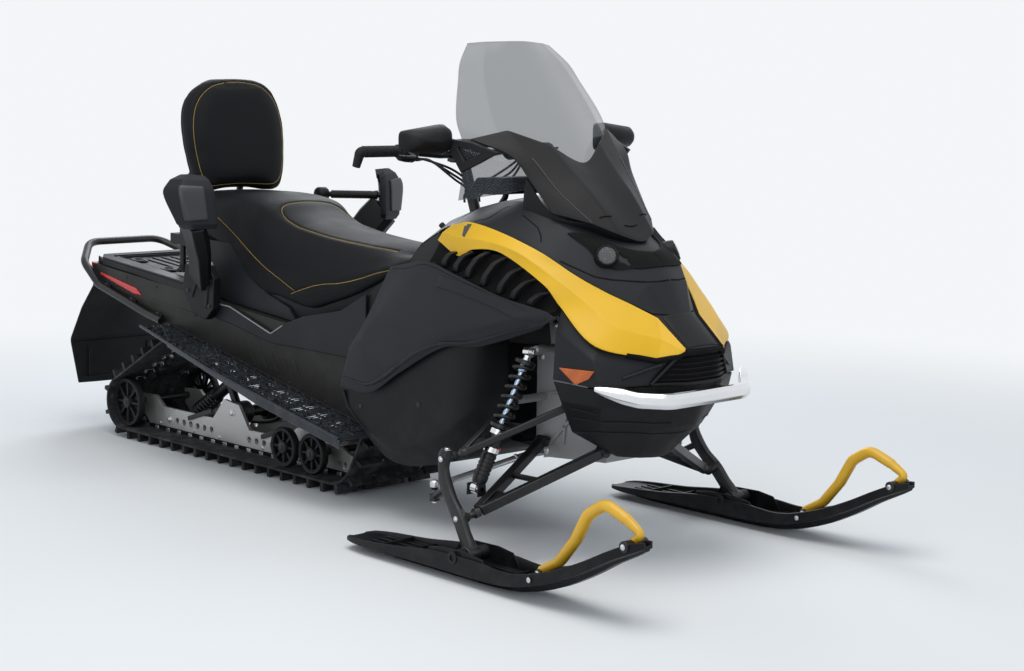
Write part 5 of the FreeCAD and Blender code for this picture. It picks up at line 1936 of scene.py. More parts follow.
@dataclass
class Handholds(Assembly):
    """The passenger's grips behind their wind guards, on raking arms."""

    guard: Sequence[Row] = (
        ((-545, 392, 834), (-525, 438, 832), (-482, 424, 832), (-456, 352, 834)),
        ((-556, 402, 850), (-534, 456, 848), (-478, 436, 848), (-448, 350, 850)),
        ((-592, 430, 946), (-562, 488, 948), (-498, 462, 950), (-460, 356, 952)),
        ((-588, 416, 988), (-558, 464, 992), (-510, 444, 994), (-476, 364, 990)),
        ((-568, 396, 1004), (-548, 430, 1008), (-516, 418, 1010), (-492, 372, 1004)),
    )

    def build(self) -> None:
        """Make both."""
        for side in Side:
            self._one(side)

    def _one(self, side: Side) -> None:
        """Make one handhold.

        Args:
            side: which one.
        """
        word = side.word
        out = side.out
        pod = self.sheet(Skin(self.guard, {1: 18, 2: 18}, {1: 10, 3: 10}, 22, 6, 5), "wind_guard_" + word,
            "charcoal_plastic", ["passenger_grip_" + word], side=side)
        tree = surface_of(pod)
        # painted highlight: the guard's raised face is a lighter copy of the body plastic laid over the pod
        corners = mms([(-488, 466, 860), (-440, 388, 866), (-456, 396, 978), (-500, 474, 982)], side)
        self.put(patch("wind_guard_face_" + word, tree, corners, 2.6, 12), "lit_plastic")
        pot = Pot()
        low, knee, high = (mm(p, side) for p in ((-690, 256, 640), (-592, 332, 760), (-526, 402, 866)))
        way = (high - low).normalized()
        section = (-0.7, -1), (0.7, -1), (1, -0.3), (0.8, 1), (-0.8, 1), (-1, -0.3)
        rings = []
        for point, wide, tall in ((low, 112, 48), (low.lerp(knee, 0.45), 104, 46), (knee, 124, 52),
                (knee.lerp(high, 0.55), 144, 60), (high, 140, 54)):
            across = way.cross(out).normalized()
            over = across.cross(way)
            a, b = across * (wide / 2000), over * (tall / 2000)
            rings.append([point + a * x + b * y for x, y in section])
        pot.rings(rings)
        foot = mms([(-800, 234, 600), (-740, 234, 526), (-656, 234, 508), (-612, 234, 548),
            (-606, 234, 650), (-640, 234, 690), (-776, 234, 690)], side)
        pot.slab(foot, out * 0.03)
        pot.beam(mm((-738, 262, 580), side), mm((-690, 262, 664), side), 12, 14, AHEAD)
        pot.beam(mm((-652, 262, 548), side), mm((-636, 262, 664), side), 12, 14, AHEAD)
        self.cast(pot, "handhold_arm_" + word, "black_plastic", edge=4, rounds=3)
        inner, outer = mm((-700, 262, 914), side), mm((-514, 436, 914), side)
        grip = Pot()
        along = (outer - inner).normalized()
        length = (outer - inner).length * 1000
        profile = [(0, 9), (30, 9), (34, 14)] + ribbed(38, 9, 16, 14.6, 13.4, (4, 5.2, 7.6))
        profile += [(length - 60, 16), (length - 56, 16), (length - 54, 9), (length, 9)]
        grip.lathe(inner, along, profile, 24)
        self.cast(grip, "handhold_grip_" + word, "soft_rubber", sharp=60)
        post = Pot()
        base = mm((-704, 250, 640), side)
        post.tube(spline([base, base.lerp(inner, 0.5) + Vector((-0.012, 0, 0)), inner], 6), [20, 18, 17, 16,
            16, 16, 16, 17, 18, 19, 20, 20, 20], 16, flat=0.7)
        post.lathe(inner - out * 0.024, out, [(0, 12), (2, 21), (8, 25), (36, 25), (42, 21), (44, 12)], 28)
        self.cast(post, "handhold_post_" + word, "black_plastic", sharp=50)
        bolts = Pot()
        bolts.bolt(inner + out * 0.02, out, 8, 4)
        for x, z in ((-762, 600), (-634, 556), (-626, 646)):
            bolts.bolt(mm((x, 264, z), side), out, 6, 5)
        self.cast(bolts, "handhold_bolts_" + word, "forged_steel")


# ------------ body work


@dataclass
class BodyWork(Assembly):
    """The panels from the console to the nose, with their lamps, vents and grille."""

    side_rows: Sequence[Row] = (
        ((372, 300, 774), (300, 322, 632), (215, 330, 520), (163, 327, 392)),
        ((553, 315, 804), (398, 340, 668), (290, 346, 545), (318, 334, 394)),
        ((700, 324, 776), (590, 350, 657), (450, 350, 500), (456, 337, 468)),
        ((880, 324, 733), (790, 351, 645), (663, 348, 586), (653, 338, 566)),
        ((1043, 312, 708), (951, 335, 677), (815, 340, 608), (804, 327, 586)),
        ((1086, 308, 691), (1068, 311, 684), (1050, 313, 672), (1030, 309, 658)),
    )
    upper_rows: Sequence[Row] = (
        ((634, 286, 914), (612, 304, 892), (588, 301, 868)),
        ((708, 284, 926), (696, 304, 880), (679, 303, 829)),
        ((820, 272, 905), (780, 300, 880), (740, 302, 852)),
        ((965, 255, 859), (905, 292, 858), (852, 297, 850)),
        ((1055, 208, 800), (1035, 262, 792), (1015, 285, 773)),
        ((1129, 166, 758), (1112, 238, 742), (1064, 273, 720)),
        ((1188, 128, 728), (1208, 205, 676), (1196, 267, 625)),
        ((1251, 84, 692), (1292, 112, 640), (1297, 134, 589)),
        ((1346, 75, 618), (1348, 80, 612), (1338, 90, 603)))
    hood_rows: Sequence[Row] = (
        ((590, 278, 902), (605, 150, 958), (600, 0, 970)),
        ((708, 276, 919), (730, 160, 984), (730, 0, 996)),
        ((820, 264, 898), (830, 180, 985), (835, 0, 1000)),
        ((962, 247, 852), (930, 180, 945), (945, 0, 980)),
        ((1050, 200, 794), (1030, 150, 892), (1045, 0, 908)),
        ((1124, 158, 752), (1140, 108, 842), (1148, 0, 856)),
        ((1184, 120, 722), (1206, 78, 778), (1214, 0, 790)),
        ((1246, 77, 689), (1254, 42, 699), (1257, 0, 700)),
        ((1342, 68, 616), (1349, 35, 616), (1351, 0, 616)))
    duct_rows: Sequence[Row] = (
        ((585, 290, 862), (570, 298, 830), (553, 304, 800)),
        ((679, 293, 823), (660, 303, 804), (640, 312, 784)),
        ((850, 287, 843), (800, 298, 798), (767, 316, 750)),
        ((1010, 274, 766), (960, 290, 738), (901, 312, 720)),
        ((1054, 262, 716), (1050, 275, 704), (1035, 298, 698)))
    nose_rows: Sequence[Row] = (
        ((1062, 264, 708), (1190, 258, 617), (1290, 128, 580), (1336, 70, 596), (1342, 0, 596)),
        ((1068, 290, 655), (1200, 280, 585), (1286, 142, 556), (1332, 62, 560), (1338, 0, 560)),
        ((1056, 287, 520), (1222, 272, 512), (1288, 150, 520), (1326, 62, 520), (1332, 0, 520)),
    )
    pan_rows: Sequence[Row] = (
        ((1056, 285, 514), (1218, 268, 506), (1282, 150, 512), (1324, 0, 512)),
        ((1080, 280, 463), (1212, 258, 458), (1286, 128, 452), (1330, 0, 456)),
        ((1082, 236, 372), (1160, 200, 372), (1256, 100, 385), (1310, 0, 400)),
        ((1124, 116, 300), (1136, 114, 297), (1172, 62, 292), (1190, 0, 290)),
    )
    belly_rows: Sequence[Row] = (
        ((785, 205, 600), (785, 200, 440), (783, 190, 300), (783, 0, 256)),
        ((755, 310, 592), (720, 290, 380), (720, 225, 262), (720, 0, 252)),
        ((612, 321, 562), (600, 305, 300), (590, 262, 213), (590, 0, 210)),
        ((420, 318, 470), (420, 306, 235), (420, 262, 174), (420, 0, 172)),
        ((310, 318, 424), (312, 308, 250), (315, 262, 180), (315, 0, 178)),
        ((172, 319, 400), (185, 312, 330), (262, 262, 215), (262, 0, 215)),
    )
    shoulder_rows: Sequence[Row] = (
        ((312, 168, 736), (335, 232, 690), (372, 292, 640)),
        ((392, 240, 786), (420, 272, 756), (452, 304, 730)),
        ((470, 262, 843), (502, 285, 812), (545, 308, 788)),
        ((565, 272, 887), (580, 288, 856), (604, 304, 806)))
    console_rows: Sequence[Row] = (
        ((312, 168, 740), (310, 90, 772), (308, 0, 782)),
        ((392, 240, 790), (385, 120, 850), (382, 0, 868)),
        ((470, 262, 848), (462, 140, 912), (458, 0, 926)),
        ((565, 272, 892), (575, 150, 948), (570, 0, 960)))

    def build(self) -> None:
        """Make every piece."""
        for side in Side:
            self._side(side)
            self._headlamp(side)
        self._hood()
        self._nose()
        self._belly()
        self._console()
        self._grille()
        self._bumper()
        self.keep("engine_block", "black_enamel", 3)

    def _side(self, side: Side) -> None:
        """Make the panels of one side.

        Args:
            side: which one.
        """
        word = side.word
        panel = self.sheet(Skin(self.side_rows, {2: 9}, {}, 4, 8, 1.6), "side_cover_" + word,
            "charcoal_plastic", ["side_panel_" + word], side=side)
        self.sheet(Skin(self.shoulder_rows, {}, {}, 4, 5, 1.2), "shoulder_" + word, "black_plastic",
            side=side)
        knee = Pot()
        knee.slab(mms([(120, 214, 500), (380, 214, 400), (430, 214, 700), (330, 214, 742), (240, 214, 716),
            (168, 214, 668), (120, 214, 560)], side), side.out * 0.006)
        self.cast(knee, "knee_wall_" + word, "black_plastic", edge=2)
        belt = surface_of(panel)
        high = spline(mms([(632, 340, 774), (740, 340, 758), (880, 340, 731), (1000, 336, 703),
            (1056, 326, 684)], side), 6)
        low = spline(mms([(618, 344, 742), (723, 344, 730), (870, 344, 704), (968, 342, 680),
            (1034, 330, 676)], side), 6)
        self.put(band_on("side_spar_" + word, belt, high, low, 1.8, 6), "charcoal_plastic")
        lip = Pot()
        route = spline(mms([(178, 330, 424), (300, 337, 416), (384, 340, 446), (452, 343, 486),
            (560, 344, 546), (660, 343, 580), (760, 341, 590), (880, 337, 624), (990, 324, 660)], side), 8)
        count = len(route) - 1
        lip.tube(spots_on(belt, route, 0.4), [2 + 5 * math.sin(math.pi * min(1, k / count * 1.04)) ** 0.6
            if k < count else 1.5 for k in range(count + 1)], 12)
        self.cast(lip, "side_lip_" + word, "charcoal_plastic", sharp=60)
        yellow = self.sheet(Skin(self.upper_rows, {1: 12}, {7: 10}, 4, 8, 1.4), "golden_cover_" + word,
            "golden_panel", ["upper_panel_" + word], side=side)
        tree = surface_of(yellow)
        inset = patch("golden_inset_" + word, tree, mms([(690, 286, 918), (716, 284, 921), (704, 301, 884),
            (694, 301, 888)], side), 0.9, 5)
        self.put(inset, "dark_screen")
        self.sheet(Skin(self.duct_rows, {}, {}, 4, 5, 1), "vent_back_" + word, "deep_black",
            ["vent_duct_" + word], side=side)
        self._vent_ribs(side)
        shut = spline(mms([(388, 312, 772), (470, 318, 780), (553, 318, 796), (690, 326, 770),
            (870, 326, 728)], side), 8)
        self.put(groove("side_shut_line_" + word, belt, shut, 1.6), "deep_black")
        inner = Pot()
        inner.slab(mms([(830, 300, 700), (1040, 290, 690), (1010, 250, 610), (840, 250, 600)], side),
            Vector((0, 0, -0.006)))
        self.cast(inner, "side_inner_" + word, "deep_black", edge=1.5)

    def _vent_ribs(self, side: Side) -> None:
        """Arch the ribs across the vent.

        Args:
            side: which side.
        """
        pot = Pot()
        tops = spline(mms([(640, 300, 842), (720, 298, 846), (820, 296, 850), (905, 290, 828),
            (985, 280, 786), (1040, 272, 740)], side), 8)
        lows = spline(mms([(600, 312, 796), (668, 318, 786), (752, 321, 768), (840, 321, 746),
            (925, 318, 728), (1010, 311, 708)], side), 8)
        section = ((-0.015, -0.008), (0.015, -0.008), (0.0105, 0.005), (-0.012, 0.003))
        for k in range(7):
            share = (k + 0.6) / 7
            a, b = tops[int(share * 40)], lows[int(share * 40)]
            out = Vector((0.2, side.value, 0.35)).normalized()
            middle = a.lerp(b, 0.5) + out * 0.013
            path = spline([a - out * 0.006, a.lerp(middle, 0.55) + out * 0.006, middle,
                b.lerp(middle, 0.55) + out * 0.002, b - out * 0.01], 5)
            pot.rings([[p + AHEAD * x + out * y for x, y in section] for p in path])
        self.cast(pot, "vent_ribs_" + side.word, "black_plastic", edge=2, rounds=3)

    def _headlamp(self, side: Side) -> None:
        """Set one headlamp in its socket.

        Args:
            side: which one.
        """
        aim = Vector((0.68, side.value * 0.6, 0.42)).normalized()
        centre = mm((1100, 131, 850), side) + aim * 0.009
        bowl, glass, rim, bulb = Pot(), Pot(), Pot(), Pot()
        rim.revolve(centre, aim, [(-30, 22), (-30, 38), (-6, 33), (4, 29.5), (6, 28.5), (6, 26.5), (1, 24)],
            40)
        bowl.lathe(centre, aim, [(-16, 6), (-12, 15), (-5, 20), (1, 24.5)], 40)
        glass.lathe(centre, aim, [(1.5, 26), (5, 25), (8, 19), (9.6, 10), (10, 0)], 40)
        bulb.lathe(centre, aim, [(-14, 5), (-2, 5), (0, 3.5)], 20)
        over = aim.orthogonal().normalized()
        for k in range(4):
            spoke = over * math.cos(math.pi * k / 2) + aim.cross(over) * math.sin(math.pi * k / 2)
            end = centre + spoke * 0.021 - aim * 0.001
            bulb.beam(centre + spoke * 0.007 - aim * 0.008, end, 1.6, 5, aim)
        word = side.word
        self.cast(rim, "lamp_bezel_" + word, "black_plastic", sharp=50)
        self.cast(bowl, "lamp_bowl_" + word, "lamp_mirror", sharp=60)
        self.cast(bulb, "lamp_core_" + word, "lamp_mirror")
        self.cast(glass, "lamp_glass_" + word, "lamp_glass", ["headlamp_" + word], sharp=60)

    def _hood(self) -> None:
        """Make the hood with its seams, a painted shade band between the lamps, and the seals round it."""
        hood = self.sheet(Skin(self.hood_rows, {1: 22}, {6: 10, 7: 6}, 4, 7, 1.4), "hood_cover",
            "charcoal_plastic", ["hood"])
        tree = surface_of(hood)
        for side in Side:
            for name, width, route in (
                    ("hood_seam_", 4, [(700, 262, 925), (737, 246, 936), (764, 190, 974), (847, 208, 949),
                        (911, 213, 920), (932, 221, 899), (945, 233, 879)]),
                    ("hood_lid_seam_", 5, [(1006, 218, 835), (1045, 190, 815), (1089, 165, 795),
                        (1129, 139, 789), (1163, 112, 787), (1198, 81, 785), (1213, 34, 786),
                        (1214, 0, 787)]),
                    ("hood_tip_seam_", 5, [(1076, 186, 779), (1153, 139, 739), (1230, 85, 701),
                        (1251, 52, 698), (1262, 0, 694)])):
                line = rounded(mms(route, side), 0.02)
                self.put(groove(name + side.word, tree, line, width), "deep_black")
        # painted shade: a deep black band laid on the hood between the lamps, under the fairing's tip,
        # where shade falls
        top = spline(both_sides([(990, 172, 902), (1024, 124, 903), (1048, 106, 892), (1083, 92, 876),
            (1113, 68, 866), (1135, 37, 860), (1146, 0, 857)]), 5)
        low = spline(both_sides([(984, 178, 900), (1040, 161, 864), (1064, 158, 842), (1086, 154, 818),
            (1132, 128, 806), (1170, 74, 812), (1184, 0, 816)]), 5)
        off = Vector((0.008, 0, 0.012))
        shade_band = band_on("lamp_mask", tree, [p + off for p in top], [p + off for p in low], 2.2, 10)
        self.put(shade_band, "deep_black")
        edge = evenly(mms([(1256, 70, 700), (1304, 66, 660), (1350, 60, 624)]), 0.008)
        strip = band_on("nose_strip", tree, edge, [Vector((p.x, -p.y, p.z)) for p in edge], 0.9, 12)
        self.put(strip, "black_plastic")
        seal = Pot()
        rows = zip(self.hood_rows, self.upper_rows)
        middles = [[(a + b) / 2 for a, b in zip(hood_row[0], cover_row[0])] for hood_row, cover_row in rows]
        for side in Side:
            seal.tube(mms([(x, y, z - 6) for x, y, z in middles], side), 7, 10)
        seal.tube(both_sides([(1246, 200, 601), (1294, 134, 585), (1334, 88, 597), (1343, 72, 607),
            (1347, 0, 607)]), 8, 10)
        self.cast(seal, "hood_seal", "deep_black", sharp=60)

    def _nose(self) -> None:
        """Make the nose and its underpan, with their markers, struts and ribs."""
        nose = self.sheet(Skin(self.nose_rows, {1: 10, 2: 8, 3: 4}, {1: 9}, 4, 6, 1.4), "nose_cover",
            "charcoal_plastic", ["nose_cone"])
        tree = surface_of(nose)
        pan = self.sheet(Skin(self.pan_rows, {1: 10, 2: 12}, {1: 8, 2: 10}, 4, 6, 1.4), "nose_underpan",
            "black_plastic", ["nose_pan"])
        under = surface_of(pan)
        for side in Side:
            amber = patch("side_marker_" + side.word, tree, mms([(1080, 290, 556), (1206, 280, 559),
                (1186, 282, 536), (1140, 290, 514)], side), 2.4, 6)
            self.put(amber, "lens_amber")
            strut = Pot()
            (a, lean), (b, _) = laid_on(tree, mms([(1244, 214, 538), (1300, 118, 574)], side), 2)
            strut.beam(a, b, 7, 24, lean)
            self.cast(strut, "nose_strut_" + side.word, "charcoal_plastic", edge=3, rounds=3)
            ribs = Pot()
            for z in (440, 405, 345):
                line = mms([(1110, 275, z), (1190, 240, z - 4), (1262, 130, z - 2), (1310, 0, z + 4)], side)
                ribs.tube(spots_on(under, spline(line, 8), 0.4), 2.6, 8)
            self.cast(ribs, "underpan_ribs_" + side.word, "black_plastic", sharp=60)

    def _belly(self) -> None:
        """Make the belly pan with its rims and bolts."""
        belly = self.sheet(Skin(self.belly_rows, {1: 20, 2: 24}, {}, 4, 6, 1.6), "belly_cover",
            "black_plastic", ["belly_pan"])
        tree = surface_of(belly)
        for side in Side:
            trim = Pot()
            line = mms([(174, 322, 380), (187, 313, 330), (262, 262, 216)], side)
            trim.tube(rounded(line, 0.02), 4.5, 10)
            self.cast(trim, "belly_rim_" + side.word, "charcoal_plastic", sharp=60)
            spots = mms([(250, 312, 340), (520, 322, 380), (680, 300, 420)], side)
            fix = Pot()
            for spot, normal in laid_on(tree, spots, 0.2):
                fix.bolt(spot, normal, 6, 3.5)
            self.cast(fix, "belly_bolts_" + side.word, "forged_steel")

    def _console(self) -> None:
        """Make the console with its filler cap and knobs."""
        self.sheet(Skin(self.console_rows, {1: 18}, {2: 12}, 4, 6, 1.4), "console_cover", "black_plastic",
            ["console"])
        cap = Pot()
        cap.revolve(mm((405, 150, 868)), Vector((-0.5, 0.35, 0.8)), [(0, 14), (0, 34), (10, 34), (14, 30),
            (14, 14)], 32)
        cap.lathe(mm((405, 150, 868)), Vector((-0.5, 0.35, 0.8)), [(0, 20), (11, 20), (12, 16)], 32)
        for k in range(3):
            at = mm((430 + 12 * k, -118 - 26 * k, 880 + 8 * k))
            cap.lathe(at, Vector((-0.6, -0.3, 0.7)), [(-6, 9), (4, 9), (6, 7)], 18)
        self.cast(cap, "console_fittings", "black_plastic", sharp=45)

    def _grille(self) -> None:
        """Set the curved slats in their dark mouth."""
        plan = spline(both_sides([(1296, 160, 0), (1318, 120, 0), (1344, 76, 0), (1351, 38, 0)]), 6)

        def arc(z: float, back: float) -> list[Vector]:
            """The mouth's curve at a height, set back from its face, both in millimetres."""
            half = 0.156 - (z - 520) * 0.00082
            return [Vector((p.x, p.y, z / 1000)) - Vector((p.x - 1.1, p.y * 0.5, 0)).normalized()
                * (back / 1000) for p in plan if abs(p.y) < half]

        slats, edge, mouth = Pot(), Pot(), Pot()
        for index in range(5):
            z = 533 + 14 * index
            slats.rings([[a, b, c + UP * 0.005] for a, b, c in zip(arc(z, 12), arc(z, 1.5), arc(z, 9))])
        low, high = arc(522, 5), arc(604, 5)
        for path in (low, high, [low[0], high[0]], [low[-1], high[-1]]):
            edge.tube(path, 5, 10)
        for z in range(522, 602, 8):
            near, far = arc(z, 10), arc(z, 14)
            mouth.rings([[a, b, b + UP * 0.0082, a + UP * 0.0082] for a, b in zip(near, far)])
        self.cast(slats, "grille_slats", "black_plastic", ["grille"], edge=0.8)
        self.cast(edge, "grille_surround", "black_plastic", sharp=60)
        self.cast(mouth, "grille_back", "deep_black")

    def _bumper(self) -> None:
        """Bend the bright flat-sided bumper with its tapered ends."""
        path = rounded(both_sides([(1226, 300, 516), (1308, 214, 488), (1362, 150, 484)]), 0.05, 8)
        path = evenly(path, 0.012)
        count = len(path)
        half = (0.55, 1), (0.95, 0.45), (0.95, -0.45), (0.5, -1)
        section = half + ((-0.6, -0.95), (-0.8, 0), (-0.6, 0.95))
        rings = []
        for k, (point, (across, over)) in enumerate(zip(path, frames_along(path))):
            ends = min(1, (k + 0.6) / 7, (count - k - 0.4) / 7)
            size = 0.021 * math.sqrt(ends)
            out = over if abs(over.z) < abs(across.z) else across
            out = (out - UP * out.dot(UP)).normalized()
            if out.dot(Vector((point.x - 1, point.y, 0))) < 0:
                out = -out
            rings.append([point + out * (a * size * 0.9) + UP * (b * size) for a, b in section])
        pot, feet = Pot(), Pot()
        pot.rings(rings)
        self.cast(pot, "bright_bumper", "bright_alloy", ["front_bumper"], edge=3.5, rounds=3, angle=20,
            sharp=30)
        for side in Side:
            feet.beam(mm((1262, 110, 492), side), mm((1346, 110, 486), side), 30, 10, UP)
        self.cast(feet, "bumper_feet", "black_enamel", edge=2)


# ------------ screen, mirrors and gauge


@dataclass
class Screen(Assembly):
    """The tall clear screen, its winged fairing, the mirrors and the gauge."""

    glass_rows: Sequence[Row] = (
        ((554, 164, 1429), (575, 118, 1434), (609, 0, 1438)),
        ((583, 217, 1376), (612, 154, 1382), (648, 0, 1386)),
        ((604, 242, 1328), (640, 178, 1333), (684, 0, 1338)),
        ((654, 292, 1216), (708, 206, 1222), (766, 0, 1228)),
        ((690, 292, 1120), (776, 206, 1112), (846, 0, 1110)),
        ((658, 286, 984), (770, 200, 1008), (876, 0, 1048)))
    fairing_rows: Sequence[Row] = (
        ((712, 290, 1160), (768, 200, 1185), (835, 100, 1145), (872, 0, 1094)),
        ((818, 234, 1118), (858, 174, 1095), (910, 88, 1078), (928, 0, 1052)),
        ((862, 212, 1062), (935, 156, 1015), (995, 80, 1005), (1008, 0, 980)),
        ((942, 190, 962), (1030, 120, 935), (1088, 68, 905), (1108, 0, 886)),
    )
    skirt_rows: Sequence[Row] = (
        ((852, 206, 1056), (934, 182, 956), (1022, 114, 930), (1080, 66, 901), (1098, 0, 882)),
        ((842, 204, 1010), (920, 178, 925), (1008, 108, 912), (1064, 64, 888), (1080, 0, 874)),
        ((832, 198, 952), (900, 172, 890), (994, 102, 890), (1046, 62, 878), (1060, 0, 868)),
    )

    def build(self) -> None:
        """Make every piece."""
        self.sheet(Skin(self.glass_rows, {1: 30}, {}, 4, 8, 0.9), "screen", "smoke_screen", ["windshield"])
        fairing = self.sheet(Skin(self.fairing_rows, {1: 5, 2: 5}, {}, 4, 7, 1.6), "screen_fairing",
            "black_plastic", ["windshield_fairing"])
        tree = surface_of(fairing)
        pot = Pot()
        slots = Pot()
        for line in ([(1064, -26, 929), (1068, 0, 927), (1064, 26, 929)], [(1037, -97, 956),
                (1042, -57, 954)], [(1042, 57, 954), (1037, 97, 956)]):
            slots.tube(spots_on(tree, evenly(mms(line), 0.008), 0.3), 3, 8, flat=0.4)
        self.cast(slots, "fairing_slots", "deep_black", sharp=60)
        for side in Side:
            line = [(768, 192, 1178), (858, 172, 1094), (934, 154, 1016), (1028, 118, 936)]
            pot.tube(spots_on(tree, spline(mms(line, side), 8), 0.2), 1.8, 8)
            self._mirror(side)
        self.sheet(Skin(self.skirt_rows, {}, {}, 4, 6, 1), "fairing_skirt", "black_plastic")
        # painted highlight: the ridges along the fairing are dressed in a lighter copy of the body plastic
        self.cast(pot, "fairing_ridges", "lit_plastic", sharp=60)
        self._gauge()

    def _mirror(self, side: Side) -> None:
        """Make one mirror with its arm.

        Args:
            side: which one.
        """
        word = side.word
        rings = []
        for x, near, far, low, high, round_off in ((594, 316, 450, 1122, 1190, 12), (602, 308, 460, 1112,
                1200, 18), (628, 302, 458, 1110, 1203, 26), (654, 306, 438, 1122, 1192, 24), (666, 320, 420,
                1136, 1180, 16)):
            corners = [mm(p, side) for p in ((x, near, low), (x, far, low + 16), (x, far, high - 20),
                (x, near, high))]
            rings.append(rounded(corners, round_off / 1000, 4, closed=True))
        head = Pot()
        head.rings(rings)
        self.cast(head, "mirror_head_" + word, "black_plastic", ["mirror_" + word], sharp=45)
        face = Pot()
        inner = [Vector((0.593, p.y, p.z)) for p in rings[0]]
        middle = sum(inner, Vector()) / len(inner)
        face.slab([middle + (p - middle) * 0.92 for p in inner], Vector((0.003, 0, 0)))
        self.cast(face, "mirror_glass_" + word, "mirror_face")
        arm = Pot()
        outer = mms([(632, 308, 1162), (722, 282, 1150), (802, 257, 1124), (752, 280, 1094),
            (700, 304, 1066), (664, 306, 1112)], side)
        centre = sum(outer, Vector()) / 6
        hole = [centre + (p - centre) * 0.42 for p in outer]
        shift = side.out * 0.012
        arm.rings([outer, [p + shift for p in outer], [p + shift for p in hole], hole], closed=True)
        self.cast(arm, "mirror_arm_" + word, "black_plastic", edge=2.5, rounds=3)

    def _gauge(self) -> None:
        """Make the instrument pod."""
        pod, glass = Pot(), Pot()
        outline = rounded(mms([(474, 0, 990), (598, 0, 990), (645, 0, 1044), (520, 0, 1038)]), 0.012, 4,
            closed=True)
        pod.rings([[p + Vector((0, y, 0)) for p in outline] for y in (-0.094, 0.094)])
        self.cast(pod, "gauge_pod", "black_plastic", ["gauge"], edge=5, rounds=3)
        a, b = Vector((0.4722, 0, 0.9955)), Vector((0.515, 0, 1.0345))
        corners = [a + Vector((0, -0.08, 0)), a + Vector((0, 0.08, 0)), b + Vector((0, 0.076, 0)),
            b + Vector((0, -0.076, 0))]
        glass.slab(corners, Vector((-0.002, 0, 0.002)))
        self.cast(glass, "gauge_screen", "dark_screen", edge=0.8)
        stalk = Pot()
        for y in (-0.05, 0.05):
            stalk.tube(spline([Vector((0.57, y, 0.95)), Vector((0.6, y, 0.985)), Vector((0.6, y, 1.01))],
                5), 9, 12)
        self.cast(stalk, "gauge_stalks", "black_enamel", sharp=60)


# ------------ steering


